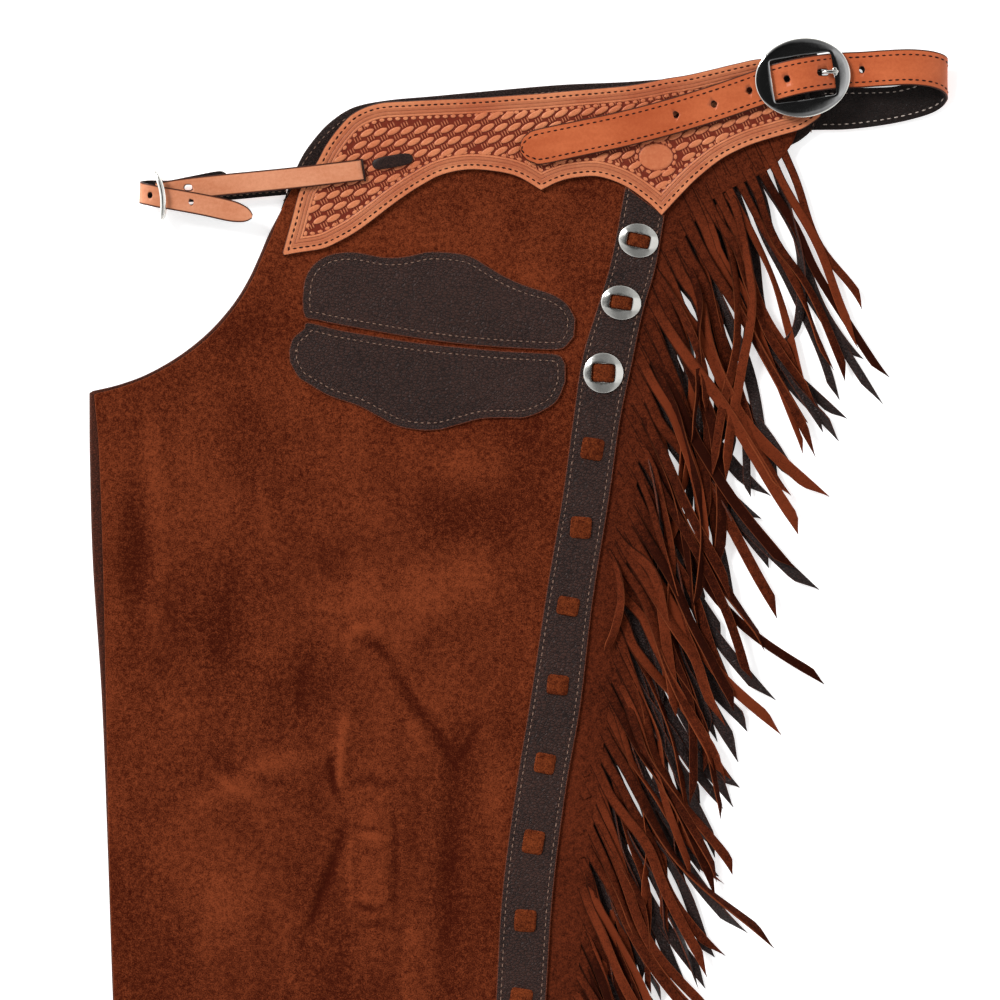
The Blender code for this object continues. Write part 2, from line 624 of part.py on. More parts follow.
# Other leg's billet: along the floor, up round the loop, through the buckle and to its tip.
FRONT_BILLET = [Stop(285, 184, 3.2, 8, TIE_WIDTH), Stop(262, 186, 3.4, 8, TIE_WIDTH),
                Stop(230, 189, 4.2, 6, TIE_WIDTH), Stop(195, 191, 5.8, 4, TIE_WIDTH),
                Stop(168, 191.5, 6.6, 2, TIE_WIDTH), Stop(152, 191, 7.0, 2, TIE_WIDTH),
                Stop(144.5, 191.5, 8.6, 0, TIE_WIDTH), Stop(141.5, 192.5, 12.4, -2, TIE_WIDTH),
                Stop(144.5, 194, 16.6, -4, TIE_WIDTH), Stop(151, 195.5, 18.6, -6, TIE_WIDTH),
                Stop(160, 197.5, 19.2, -9, TIE_WIDTH), Stop(178, 200.5, 19.0, -10, TIE_WIDTH),
                Stop(205, 205.5, 17.6, -11, TIE_WIDTH), Stop(230, 211, 16.6, -13, TIE_WIDTH),
                Stop(243, 214.2, 16.2, -14, 13.5), Stop(249, 215.8, 16.1, -14, 9.0),
                Stop(252.5, 216.8, 16.0, -14, 3.5)]


# ------------------------------------------------------------------ hardware
def ring_band(name, outer, inner, low, rises, sides, material):
    """A closed ring on a level in mm: outer and inner give its outline at an angle.

    Rises are the heights in mm of its outer rim, of its crest and of its inner rim.
    """
    points = []
    for corner in range(sides):
        angle = 2 * math.pi * corner / sides
        out, inn = outer(angle), inner(angle)
        crest = out.lerp(inn, 0.45)
        levels = [(out, low), (out, low + rises[0]), (crest, low + rises[1]), (inn, low + rises[2]), (inn, low)]
        points += [(place.x, place.y, height * MM) for place, height in levels]
    faces = []
    for corner in range(sides):
        here, after = corner * 5, (corner + 1) % sides * 5
        for step in range(5):
            turn = (step + 1) % 5
            faces.append((here + step, here + turn, after + turn, after + step))
    return add_piece(name, points, faces, material)


def rounded_box(angle, half_x, half_y, power=5.0):
    """A rectangle with rounded corners, at an angle from its centre."""
    x, y = math.cos(angle), math.sin(angle)
    reach = (abs(x / half_x) ** power + abs(y / half_y) ** power) ** (-1 / power)
    return Vector((x * reach, y * reach))


def turned(point, degrees):
    angle = math.radians(degrees)
    return Vector((point[0] * math.cos(angle) - point[1] * math.sin(angle),
                   point[0] * math.sin(angle) + point[1] * math.cos(angle)))


def rod(name, places, radius, material, sides=8, cutter=False):
    """A round bar through places in metres, tapered by a list of radii in mm."""
    rings = []
    for index, place in enumerate(places):
        before = places[max(index - 1, 0)]
        after = places[min(index + 1, len(places) - 1)]
        tangent = (after - before).normalized()
        side = tangent.cross(Vector((0, 0, 1)))
        if side.length < 0.1:
            side = Vector((1, 0, 0))
        side.normalize()
        up = side.cross(tangent)
        size = radius[index] * MM
        rings.append([place + side * size * math.cos(2 * math.pi * step / sides)
                      + up * size * math.sin(2 * math.pi * step / sides) for step in range(sides)])
    return lofted_piece(name, rings, material, cutter)


BUCKLE = dict(centre=(803.3, 78.2), half=(38.4, 30.8), opening=(26.2, 16.6), turn=8.5, low=17.3, thick=2.4)
BAR_HEIGHT = 15.6
BAR_RADIUS = 1.8


def big_buckle():
    """Oval frame with a rectangular opening and a centre bar, as one casting."""
    centre = plan(*BUCKLE["centre"])

    def outer(angle):
        oval = (BUCKLE["half"][0] * math.cos(angle), BUCKLE["half"][1] * math.sin(angle))
        return centre + turned(oval, BUCKLE["turn"]) * MM

    def inner(angle):
        half_x, half_y = BUCKLE["opening"]
        stretched = math.atan2(math.sin(angle) * BUCKLE["half"][1], math.cos(angle) * BUCKLE["half"][0])
        return centre + turned(rounded_box(stretched, half_x, half_y, 12.0), BUCKLE["turn"]) * MM

    thick = BUCKLE["thick"]
    frame = ring_band("buckle_frame", outer, inner, BUCKLE["low"], (thick * 0.6, thick + 0.4, thick), 36, SILVER)
    ends = [centre + turned((0, side * (BUCKLE["opening"][1] + 3.0)), BUCKLE["turn"]) * MM for side in (-1, 1)]
    bar = rod("buckle_bar_guide", [Vector((*end, BAR_HEIGHT * MM)) for end in ends],
              [BAR_RADIUS, BAR_RADIUS], SILVER, cutter=True)
    boolean(frame, bar, "UNION")
    return frame


def buckle_chape():
    """Short leather fold that ties the buckle's bar to the yoke, under the belt."""
    centre = plan(*BUCKLE["centre"])
    low, thick = YOKE_TOP + GAP, 1.1
    reach = BAR_RADIUS + GAP
    profile = [(-31.0, low), (-6.0, low)]
    for step in range(7):
        angle = math.radians(-110 + 200 * step / 6)
        profile.append(((reach + thick) * math.cos(angle), BAR_HEIGHT + (reach + thick) * math.sin(angle)))
    inside = []
    for step in range(7):
        angle = math.radians(-110 + 200 * step / 6)
        inside.append((reach * math.cos(angle), BAR_HEIGHT + reach * math.sin(angle)))
    inside = [(-31.0, low + thick), (-6.0, low + thick)] + inside
    outline = profile + inside[::-1]
    rings = []
    for side in (-11.0, 11.0):
        ring = []
        for along, height in outline:
            place = centre + turned((along, side), BUCKLE["turn"]) * MM
            ring.append((place.x, place.y, height * MM))
        rings.append(ring)
    return lofted_piece("buckle_chape", rings, SKIRTING)


def buckle_tongue():
    centre = plan(*BUCKLE["centre"])
    course = [(4.2, 1.6, 15.6), (11.0, 1.7, 15.9), (15.0, 1.8, 17.7), (19.0, 1.9, 20.4),
              (24.5, 2.1, 21.6), (31.5, 2.4, 21.5)]
    places = [Vector((*(centre + turned((x, y), BUCKLE["turn"]) * MM), z * MM)) for x, y, z in course]
    return rod("buckle_tongue", places, [1.2, 1.25, 1.3, 1.4, 1.5, 1.0], SILVER)


CONCHOS = [(638.4, 240.6, -12), (621, 302.7, -9), (603.3, 373, -3)]


def concho(number, x, y, turn):
    """Slotted round disc on the side strip, with the lace that holds it."""
    centre = plan(x, y)
    base = STRIP_TOP + GAP

    def outer(angle):
        return centre + turned((CONCHO_RADIUS * math.cos(angle), CONCHO_RADIUS * math.sin(angle)), turn) * MM

    def slot(angle):
        return centre + turned(rounded_box(angle, 8.6, 5.6), turn) * MM

    ring_band(f"concho_{number}", outer, slot, base, (0.7, CONCHO_RISE, CONCHO_RISE - 0.5), 24, SILVER)
    slot_lace(f"concho_lace_{number}", centre, (14.6, 9.4), turn, base, CONCHO_RISE - 0.5)


def slot_lace(name, centre, size, turn, base, rise, material=SUEDE):
    """A bit of lace that shows on top: a rounded pad, a little crowned."""
    rings = []
    for inset, height in ((0.0, 0.0), (0.0, rise * 0.6), (1.4, rise)):
        ring = []
        for corner in range(8):
            angle = math.pi * (corner + 0.5) / 4
            place = rounded_box(angle, size[0] / 2 - inset, size[1] / 2 - inset, 7.0)
            spot = centre + turned(place, turn) * MM
            ring.append((spot.x, spot.y, (base + height) * MM))
        rings.append(ring)
    return lofted_piece(name, rings, material)


def small_buckle():
    """Oval tie buckle, standing on edge across the strap, with a bar at mid height."""
    top, bottom = plan(153.5, 168), plan(161.5, 222.5)
    middle = (top + bottom) / 2
    reach = (top - bottom) / 2
    heading = reach.normalized()
    outward = Vector((heading.y, -heading.x))
    rise, centre_height, thick, bow = 13.0, 13.4, 1.0, 4.4

    def place(angle, share):
        along, up = rounded_box(angle, 1.0, 1.0, 2.7)
        spot = middle + reach * along * share + outward * bow * MM * (1 - (along * share) ** 2)
        return spot, centre_height + up * (rise if share == 1.0 else rise - 3.6)

    sides = 28
    points = []
    for corner in range(sides):
        angle = 2 * math.pi * corner / sides
        for share in (1.0, 0.80):
            spot, height = place(angle, share)
            for side in (-1, 1):
                shifted = spot + outward * side * thick * MM
                points.append((shifted.x, shifted.y, height * MM))
    faces = []
    for corner in range(sides):
        here, after = corner * 4, (corner + 1) % sides * 4
        for near, far in ((0, 1), (1, 3), (3, 2), (2, 0)):
            faces.append((here + near, here + far, after + far, after + near))
    frame = add_piece("tie_buckle", points, faces, SILVER)
    course = []
    for along, shift in ((-0.93, 0.16), (-0.5, 0.82), (0.5, 0.82), (0.93, 0.16)):
        spot = middle + reach * along + outward * bow * shift * MM
        course.append(Vector((*spot, centre_height * MM)))
    bar = rod("tie_buckle_bar_guide", course, [1.1] * 4, SILVER, cutter=True)
    boolean(frame, bar, "UNION")
    return frame


# ------------------------------------------------------------------ assembly
def build():
    under_leg()
    under_yoke()
    cuts = spline(CUT_LINE, 3)
    under_seam = UNDER_BACKING_END + [row[2:] for row in UNDER_ROWS]
    fringe_piece("under_fringe", seam_rail(under_seam), root_line(cuts[1:], -5.0), UNDER_FRINGE, REVERSE)
    sheet("leg_panel", LEG_ROWS, even(13), panel_low, panel_high, SUEDE)
    top_seam = [row[2:] for row in LEG_ROWS[1:]]
    fringe_piece("fringe", seam_rail(top_seam), root_line(cuts, 0.0), TOP_FRINGE, SUEDE)

    yoke_rows = spline(YOKE_FRONT, 2)[:-1] + spline(YOKE_ARCH, 2)[:-1] + spline(YOKE_BACK, 2)
    yoke = sheet("yoke", yoke_rows, [0, 0.12, 0.15, 0.85, 0.88, 1], flat_at(TRIM_LOW), flat_at(YOKE_TOP),
                 SKIRTING)
    slit = lofted_piece("tie_slit", [[Vector((*(plan(362.2, 169.8) + turned((x, y), 10) * MM), z * MM))
                                      for x, y in ((-2.4, -9.7), (2.4, -9.7), (2.4, 9.7), (-2.4, 9.7))]
                                     for z in (TRIM_LOW - 1, YOKE_TOP + 1)], SKIRTING, cutter=True)
    boolean(yoke, slit, "DIFFERENCE")
    slot_lace("yoke_thong", plan(392.5, 161.5), THONG, 10, YOKE_TOP + GAP, THONG_RISE, REVERSE)
    sheet("side_strip", STRIP_ROWS, [0, 0.5, 1], flat_at(TRIM_LOW), flat_at(STRIP_TOP), GRAIN)
    for name, table in (("pocket_upper", POCKET_UPPER), ("pocket_lower", POCKET_LOWER)):
        sheet(name, spline(table, 2), even(3), flat_at(TRIM_LOW), flat_at(TRIM_LOW + POCKET_THICK), GRAIN)

    for number, (x, y, turn) in enumerate(CONCHOS, 1):
        concho(number, x, y, turn)
    for number in range(TAB_COUNT):
        y = FIRST_TAB + TAB_SPACING * number
        row = at_station(STRIP_ROWS, 1, y)
        centre = plan((row[0] + row[2]) / 2, y)
        slot_lace(f"lace_tab_{number + 1:02d}", centre, LACE_TAB, -11, STRIP_TOP + GAP, LACE_TAB_RISE)

    belt_stops = spline(BELT, 1)
    for strap in lined_strap("belt", belt_stops, BELT_FACE, BELT_LINING):
        punch(strap, BELT_HOLES, YOKE_TOP - 0.5, 30.0)
    lined_strap("front_tie", FRONT_TIE, TIE_FACE, TIE_LINING)
    lined_strap("front_billet", FRONT_BILLET, TIE_FACE, TIE_LINING)
    big_buckle()
    buckle_chape()
    buckle_tongue()
    small_buckle()


def centre_on_floor():
    """Hang every solid on one empty, so the whole part's box is centred over the origin."""
    corners = [piece.matrix_world @ vertex.co for piece in pieces if piece.display_type != "WIRE"
               for vertex in piece.data.vertices]
    low = [min(corner[axis] for corner in corners) for axis in range(3)]
    high = [max(corner[axis] for corner in corners) for axis in range(3)]
    origin = bpy.data.objects.new("chaps_origin", None)
    bpy.context.scene.collection.objects.link(origin)
    origin.location = (-(low[0] + high[0]) / 2, -(low[1] + high[1]) / 2, -low[2])
    for piece in pieces:
        piece.parent = origin


build()
centre_on_floor()
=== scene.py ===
# %% [markdown]
# # Fringed rough-out leather chaps, folded in half
#
# A pair of chaps lies on a pale floor, folded so that one leg covers the other.  The legs are
# suede, cut rough side out; the yoke is thick tan leather with a stamped basket weave; a dark
# strip laced with suede runs down the outseam, and beyond it the leg is cut into fringe.
#
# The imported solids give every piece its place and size.  This lesson replaces them one at a
# time with finer meshes, and gives each leather its own finish.

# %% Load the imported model
import math
import random

import bmesh
import bpy
import numpy as np
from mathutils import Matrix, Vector


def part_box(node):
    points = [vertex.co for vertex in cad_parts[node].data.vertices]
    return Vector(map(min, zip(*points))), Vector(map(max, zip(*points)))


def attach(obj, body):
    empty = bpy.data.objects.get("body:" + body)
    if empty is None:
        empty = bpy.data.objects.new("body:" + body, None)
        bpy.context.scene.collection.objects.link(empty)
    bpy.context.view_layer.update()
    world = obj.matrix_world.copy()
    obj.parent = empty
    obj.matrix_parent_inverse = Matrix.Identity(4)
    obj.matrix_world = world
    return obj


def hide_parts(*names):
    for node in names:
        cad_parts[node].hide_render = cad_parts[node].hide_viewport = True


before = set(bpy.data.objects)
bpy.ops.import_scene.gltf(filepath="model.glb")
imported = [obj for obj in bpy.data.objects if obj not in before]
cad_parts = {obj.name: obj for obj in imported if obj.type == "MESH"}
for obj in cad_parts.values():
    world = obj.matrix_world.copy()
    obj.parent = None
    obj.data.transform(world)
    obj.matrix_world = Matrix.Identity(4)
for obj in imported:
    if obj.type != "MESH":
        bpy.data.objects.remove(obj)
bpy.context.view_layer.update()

print(len(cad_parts), "packed nodes")

# %% [markdown]
# ## One ruler for everything
#
# Leather is cut from patterns, so the pieces share one flat plan: x to the right and y down
# the leg, in units of 0.78 mm.  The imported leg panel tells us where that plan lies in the
# frame: its left corner is at x = 94 and its hem at y = 1415.

# %% Plan, heights and small number helpers
MM = 0.001
UNIT = 0.78 * MM
HEM = 1415.0                         # plan y of the leg's lower edge
LEG_LEFT = 94.0                      # plan x of the leg's front edge
GAP = 0.3                            # clear gap between pieces that touch

# thickness of each leather, then heights above the floor, all in mm
LEATHER, STRIP_LEATHER, POCKET_LEATHER, YOKE_LEATHER = 2.2, 1.8, 1.4, 3.0
UNDER_TOP = 5.5
PANEL_LOW = UNDER_TOP + GAP
PANEL_TOP = PANEL_LOW + LEATHER
TRIM_LOW = PANEL_TOP + GAP
STRIP_TOP = TRIM_LOW + STRIP_LEATHER
POCKET_TOP = TRIM_LOW + POCKET_LEATHER
YOKE_TOP = TRIM_LOW + YOKE_LEATHER

panel_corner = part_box("leg_panel")[0]
ORIGIN = Vector((panel_corner.x - LEG_LEFT * UNIT, panel_corner.y + HEM * UNIT))


def plan(x, y):
    """Plan units to metres in the frame, +Y towards the waist."""
    return Vector((ORIGIN.x + x * UNIT, ORIGIN.y - y * UNIT))


def spline(rows, steps):
    """Catmull-Rom through rows of numbers, with `steps` rows made for each interval."""
    rows = np.array(rows, float)
    padded = np.vstack([2 * rows[0] - rows[1], rows, 2 * rows[-1] - rows[-2]])
    made = []
    for a, b, c, d in zip(padded, padded[1:], padded[2:], padded[3:]):
        for t in np.arange(steps) / steps:
            made.append(0.5 * (2 * b + (c - a) * t + (2 * a - 5 * b + 4 * c - d) * t * t
                               + (3 * b - a - 3 * c + d) * t ** 3))
    made.append(rows[-1])
    return np.array(made)


def pace(rows, pitch):
    """The same run of rows again at an even pitch in mm, by the longer step of their points."""
    rows = np.array(rows, float)
    move = np.abs(np.diff(rows, axis=0))
    step = np.hypot(move[:, 0::2], move[:, 1::2]).max(axis=1) if rows.shape[1] > 2 else \
        np.hypot(move[:, 0], move[:, 1])
    run = np.concatenate([[0], np.cumsum(step)]) * UNIT / MM
    count = max(int(round(run[-1] / pitch)), 2)
    marks = np.linspace(0, run[-1], count + 1)
    return np.column_stack([np.interp(marks, run, rows[:, column]) for column in range(rows.shape[1])])


def ramp(low, high, value):
    """0 at low and 1 at high, smooth between; high may be the smaller."""
    share = np.clip((value - low) / (high - low), 0.0, 1.0)
    return share * share * (3.0 - 2.0 * share)


print("plan origin at", [round(v, 4) for v in ORIGIN])

# %% [markdown]
# ## Shader maths that reads like maths
#
# A finish is a network of small nodes.  Wiring each by hand hides the idea, so one small
# class wraps a socket: `+`, `-` and `*` on it add Math nodes, and `node()` adds any other kind,
# with its settings first and then the values or links of its sockets.  The same class builds
# the Geometry Nodes trees further down.

# %% The Wire class
class Wire:
    """One output in a node tree."""

    def __init__(self, tree, socket=None):
        self.tree = tree
        self.socket = socket

    def node(self, kind, settings=None, inputs=None, out=0):
        made = self.tree.nodes.new(kind)
        for name, value in (settings or {}).items():
            setattr(made, name, value)
        for key, value in (inputs or {}).items():
            if isinstance(value, Wire):
                self.tree.links.new(value.socket, made.inputs[key])
            else:
                made.inputs[key].default_value = value
        return Wire(self.tree, made.outputs[out] if len(made.outputs) else None)

    def other(self, name):
        """Another output of the same node."""
        return Wire(self.tree, self.socket.node.outputs[name])

    def maths(self, operation, first, second):
        return self.node("ShaderNodeMath", {"operation": operation}, {0: first, 1: second})

    def __add__(self, value):
        return self.maths("ADD", self, value)

    def __sub__(self, value):
        return self.maths("SUBTRACT", self, value)

    def __rsub__(self, value):
        return self.maths("SUBTRACT", value, self)

    def __mul__(self, value):
        return self.maths("MULTIPLY", self, value)

    __radd__ = __add__
    __rmul__ = __mul__

    def least(self, value):
        return self.maths("MINIMUM", self, value)

    def most(self, value):
        return self.maths("MAXIMUM", self, value)

    def size(self):
        return self.node("ShaderNodeMath", {"operation": "ABSOLUTE"}, {0: self})

    def soft_step(self, low, high):
        """0 below low, 1 above high, smooth between; high may be the smaller."""
        flip = high < low
        step = self.node("ShaderNodeMapRange", {"interpolation_type": "SMOOTHSTEP"},
                         {"Value": self, "From Min": min(low, high), "From Max": max(low, high)})
        return 1 - step if flip else step

    def line(self, place, half):
        """1 on a line at a value, fading to 0 at half a width away."""
        return (self - place).size().soft_step(half, half * 0.3)

    def colour(self, first, second):
        """A colour between two, by this value."""
        inputs = {0: self}
        for key, shade in ((6, first), (7, second)):
            inputs[key] = shade if isinstance(shade, Wire) else (*shade, 1.0)
        return self.node("ShaderNodeMix", {"data_type": "RGBA"}, inputs, out=2)


def tint(red, green, blue):
    """A colour from 0-255 display values."""
    return tuple((value / 255 / 12.92) if value < 10.3 else ((value / 255 + 0.055) / 1.055) ** 2.4
                 for value in (red, green, blue))


print("suede mid tone", [round(v, 4) for v in tint(98, 39, 18)])

# %% [markdown]
# ## Finishes
#
# Every finish starts from the same three things: the place on the piece (Object
# coordinates, in metres), noise at the sizes the real leather shows, and a Principled shader.
# `begin` makes them.  Values that vary over the surface go only to Base Color, Roughness and
# Normal; the specular level is a plain number on the shader.

# %% Starting a finish
def begin(name, roughness, specular=0.5):
    material = bpy.data.materials.new(name)
    material.use_nodes = True
    tree = material.node_tree
    shader = tree.nodes["Principled BSDF"]
    shader.inputs["Roughness"].default_value = roughness
    shader.inputs["Specular IOR Level"].default_value = specular
    place = Wire(tree).node("ShaderNodeTexCoord", out="Object")
    return material, shader, place


def noise(place, scale, detail=3.0, rough=0.55, stretch=None):
    if stretch:
        place = place.node("ShaderNodeMapping", inputs={"Vector": place, "Scale": stretch})
    return place.node("ShaderNodeTexNoise", inputs={"Vector": place, "Scale": scale, "Detail": detail,
                                                    "Roughness": rough})


def pebbles(place, scale):
    """Distance to the edge of small cells: the pebbled grain of leather."""
    return place.node("ShaderNodeTexVoronoi", {"feature": "DISTANCE_TO_EDGE"},
                      {"Vector": place, "Scale": scale})


def own(place, name):
    """An attribute of the piece, such as the distance from its cut edge in mm."""
    return place.node("ShaderNodeAttribute", {"attribute_name": name}, out="Fac")


def finish_surface(shader, place, colour, height, depth, strength=1.0, roughness=None):
    tree = place.tree
    tree.links.new(colour.socket, shader.inputs["Base Color"])
    bump = place.node("ShaderNodeBump", inputs={"Height": height, "Distance": depth, "Strength": strength})
    tree.links.new(bump.socket, shader.inputs["Normal"])
    if roughness:
        tree.links.new(roughness.socket, shader.inputs["Roughness"])


# %% [markdown]
# ### Suede
#
# Rough-out leather is a nap of loose fibres.  Hands and folds brush it into soft patches,
# lighter where the nap lies away and darker where it stands, on top of a fine speckle.  On the
# leg these patches follow the folds: partly that brushed nap, and partly painted light on the
# ridges and painted shade in the troughs and creases.

# %% Suede finish
def suede(name, dark, light, cut=None, kind="plain"):
    material, shader, place = begin(name, 0.95, specular=0.05)
    patches = noise(place, 9.0, 5.0, 0.6)
    brushed = noise(place, 34.0, 4.0, 0.65, stretch=(1.0, 0.5, 1.0))
    nap = noise(place, 240.0, 3.0, 0.7)
    fibre = noise(place, 1050.0, 2.0, 0.8)
    grain = (nap - 0.5) + (fibre - 0.5) * 1.8
    tone = (patches - 0.5) * 0.5 + (brushed - 0.5) * 0.5 + grain + 0.4
    if kind == "leg":
        # colour that follows the folds: partly brushed nap, partly painted light on ridges and painted shade
        # in troughs and creases
        nap_and_fold_shade = own(place, "nap") * (0.56 + brushed * 0.5)
        rim = own(place, "rim_mm").soft_step(0.5, 0.15)
        colour = (tone + nap_and_fold_shade).soft_step(0.0, 1.0).colour(dark, light)
        colour = (rim * 0.6).colour(colour, cut)
    elif kind == "strands":
        from_middle = (own(place, "across") - 0.5).size()
        cut_edge = from_middle.soft_step(0.42, 0.49)
        # dark sides near the root: painted shadow in the slits between strands
        slit = from_middle.soft_step(0.34, 0.47)
        colour = (tone * 0.8 + own(place, "shade") - 0.38).soft_step(0.0, 1.0).colour(dark, light)
        colour = (cut_edge * 0.5).colour(colour, cut)
        colour = (slit * own(place, "near_root")).colour(colour, tint(18, 6, 3))
    else:
        colour = tone.soft_step(0.0, 1.0).colour(dark, light)
    finish_surface(shader, place, colour, nap * 0.6 + fibre * 0.5, 0.0006, 0.5)
    return material


LEG_SUEDE = suede("leg_suede", tint(58, 15, 4), tint(134, 62, 33), tint(124, 62, 36), kind="leg")
# the fringe is the leg's own suede set darker: partly its nap, partly painted shade among the strands
SHADED_FRINGE_SUEDE = suede("fringe_suede_shaded", tint(40, 11, 4), tint(112, 48, 25), tint(146, 74, 42), kind="strands")
LACE_SUEDE = suede("lace_suede", tint(58, 18, 6), tint(132, 62, 30))
print("three suedes")


# %% [markdown]
# ### Dark grain leather
#
# The strip, the pockets and the back of every piece are the smooth side: nearly black brown,
# a fine pebble, a dull sheen, and a paler line where the knife cut through.

# %% Dark grain finish
def dark_grain(name, base, worn, cut, rough=0.5, pebble=520.0, strands=False):
    material, shader, place = begin(name, rough, specular=0.2)
    cloud = noise(place, 18.0, 3.0)
    speck = noise(place, 420.0, 3.0, 0.7)
    cells = pebbles(place.node("ShaderNodeMapping", inputs={"Vector": place, "Scale": (0.8, 1.35, 1.0),
                                                            "Rotation": (0.0, 0.0, 0.35)}), pebble)
    cells = cells.soft_step(0.0, 0.2)
    colour = (cloud * 0.35 + speck * 0.75 + cells * 0.3 - 0.2).soft_step(0.15, 0.8).colour(base, worn)
    if strands:
        cut_edge = (own(place, "across") - 0.5).size().soft_step(0.43, 0.49)
    else:
        cut_edge = own(place, "rim_mm").soft_step(0.9, 0.35)
    colour = (cut_edge * 0.85).colour(colour, cut)
    gloss = 1 - cells * 0.12 - cloud * 0.1
    finish_surface(shader, place, colour, cells * 0.8 + speck * 0.4, 0.0008, 0.8, gloss * (rough * 1.25))
    return material


TRIM_GRAIN = dark_grain("trim_grain", tint(20, 8, 6), tint(62, 40, 34), tint(112, 52, 28), pebble=380.0)
FRINGE_GRAIN = dark_grain("fringe_grain", tint(16, 9, 8), tint(54, 38, 35), tint(96, 46, 28), 0.42,
                          420.0, strands=True)
REVERSE = dark_grain("reverse_side", tint(16, 8, 7), tint(48, 31, 26), tint(88, 42, 26), 0.6)
LINING = dark_grain("strap_lining", tint(10, 5, 4), tint(34, 22, 19), tint(24, 14, 12), 0.5)
print("dark leathers ready")


# %% [markdown]
# ### Tan leather, tooled and plain
#
# Skirting leather is pressed with stamps and rubbed with dark antique paste.  The paste stays
# in every hollow, so the colour can follow the height: low places are red brown and high ones
# tan.  The border's crease lines follow the distance to the cut edge.

# %% Tan finishes
FIELD_DEPTH = 0.75
CREASES = (7.6, 10.2)


def tan_leather(name, dark, light, tooled=False, edge_mm=0.55):
    material, shader, place = begin(name, 0.42, specular=0.25)
    cloud = noise(place, 16.0, 3.0)
    pores = noise(place, 420.0, 3.0, 0.7)
    streak = noise(place, 60.0, 3.0, 0.6, stretch=(0.4, 1.6, 1.0))
    tone = cloud * 0.5 + pores * 0.28 + streak * 0.3
    colour = tone.soft_step(0.32, 0.80).colour(dark, light)
    height = pores * 0.25
    rim = own(place, "rim_mm")
    if tooled:
        up = place.node("ShaderNodeSeparateXYZ", inputs={0: place}, out="Z")
        sunk = up.soft_step((YOKE_TOP - 0.10) * MM, (YOKE_TOP - FIELD_DEPTH * 0.9) * MM)
        lines = rim.line(CREASES[0], 0.5).most(rim.line(CREASES[1], 0.5))
        shaded = rim.soft_step(4.6, 5.6) * rim.soft_step(11.2, 10.0)
        paste = (sunk * (0.8 + pores * 0.4)).most(lines * 0.6).most(shaded * (0.22 + streak * 0.2))
        colour = paste.colour(colour, tint(112, 38, 20))
        height = height - lines * 1.2
    burnish = rim.soft_step(edge_mm + 0.5, edge_mm * 0.6)
    colour = burnish.colour(colour, tint(62, 26, 14))
    finish_surface(shader, place, colour, height, 0.0004, 0.5)
    return material


YOKE_TAN = tan_leather("tooled_yoke", tint(188, 98, 62), tint(226, 146, 102), tooled=True, edge_mm=0.4)
BELT_TAN = tan_leather("belt_tan", tint(174, 80, 42), tint(208, 112, 68), edge_mm=0.9)
TIE_TAN = tan_leather("tie_tan", tint(198, 120, 82), tint(230, 160, 124), edge_mm=1.1)


def plain_finish(name, base, worn, rough, specular=0.15):
    material, shader, place = begin(name, rough, specular=specular)
    speck = noise(place, 900.0, 2.0)
    finish_surface(shader, place, speck.soft_step(0.3, 0.7).colour(base, worn), speck, 0.0002, 0.4)
    return material


DARK_THREAD = plain_finish("dark_thread", tint(34, 8, 5), tint(62, 20, 12), 0.7)
LINEN_THREAD = plain_finish("linen_thread", tint(150, 134, 124), tint(190, 176, 166), 0.6)
PALE_THREAD = plain_finish("pale_thread", tint(112, 84, 70), tint(146, 118, 102), 0.6)
BURNISHED = plain_finish("burnished_edge", tint(44, 22, 14), tint(70, 38, 24), 0.45)
THONG = plain_finish("dark_thong", tint(20, 10, 8), tint(52, 32, 27), 0.5, 0.2)
print("tan leathers, threads and edges ready")


# %% [markdown]
# ### Polished silver
#
# Plated hardware is a mirror.  A little noise in its roughness, and shallow dents too small
# to see one by one, keep the reflections from looking computed.  The flat of the big buckle
# is painted a little darker than its bevels, which dims its reflection: a painted darker
# reflection.

# %% Silver finish
def silver(name, rough, dents, plate=False):
    material, shader, place = begin(name, rough)
    shader.inputs["Metallic"].default_value = 1.0
    haze = noise(place, 60.0, 3.0)
    scratches = noise(place, 500.0, 2.0, 0.6, stretch=(0.15, 1.0, 1.0))
    colour = haze.colour(tint(205, 204, 198), tint(232, 231, 226))
    if plate:
        # the plate's flat gets a darker base colour: a painted dimmer reflection, not a different metal
        inward = own(place, "inward")
        flat = inward.soft_step(0.05, 0.12) * inward.soft_step(0.985, 0.93)
        colour = flat.colour(colour, tint(176, 176, 176))
    finish_surface(shader, place, colour, haze + scratches * 0.05, dents, 0.5,
                   scratches * 0.08 + haze * 0.06 + (rough - 0.06))
    return material


BUCKLE_SILVER = silver("buckle_silver", 0.09, 0.0003)
DIMMED_PLATE_SILVER = silver("plate_silver_dimmed", 0.08, 0.0003, plate=True)
CONCHO_SILVER = silver("concho_silver", 0.2, 0.0008)
print("silver ready")


# %% [markdown]
# ## Cutting leather: one shell for every flat piece
#
# A cut piece is a wall a few millimetres thick with slightly rounded edges.  Its outline is a
# table of sections, each from an `a` end to a `b` end, so the mesh runs as rings across the
# sections: many points on the face, a few round each edge, and fewer underneath.  Each point
# also gets its distance to the cut edge, which the finishes read.

# %% Shell helpers
def new_piece(name, points, faces, finishes):
    mesh = bpy.data.meshes.new(name)
    mesh.from_pydata([tuple(point) for point in points], [], [tuple(face) for face in faces])
    for finish in (finishes if isinstance(finishes, (list, tuple)) else [finishes]):
        mesh.materials.append(finish)
    shaped = bmesh.new()
    shaped.from_mesh(mesh)
    bmesh.ops.recalc_face_normals(shaped, faces=shaped.faces)
    if shaped.calc_volume(signed=True) < 0.0:
        bmesh.ops.reverse_faces(shaped, faces=shaped.faces)
    shaped.to_mesh(mesh)
    shaped.free()
    mesh.shade_smooth()
    mesh.set_sharp_from_angle(angle=math.radians(42))
    piece = bpy.data.objects.new(name, mesh)
    bpy.context.scene.collection.objects.link(piece)
    return piece


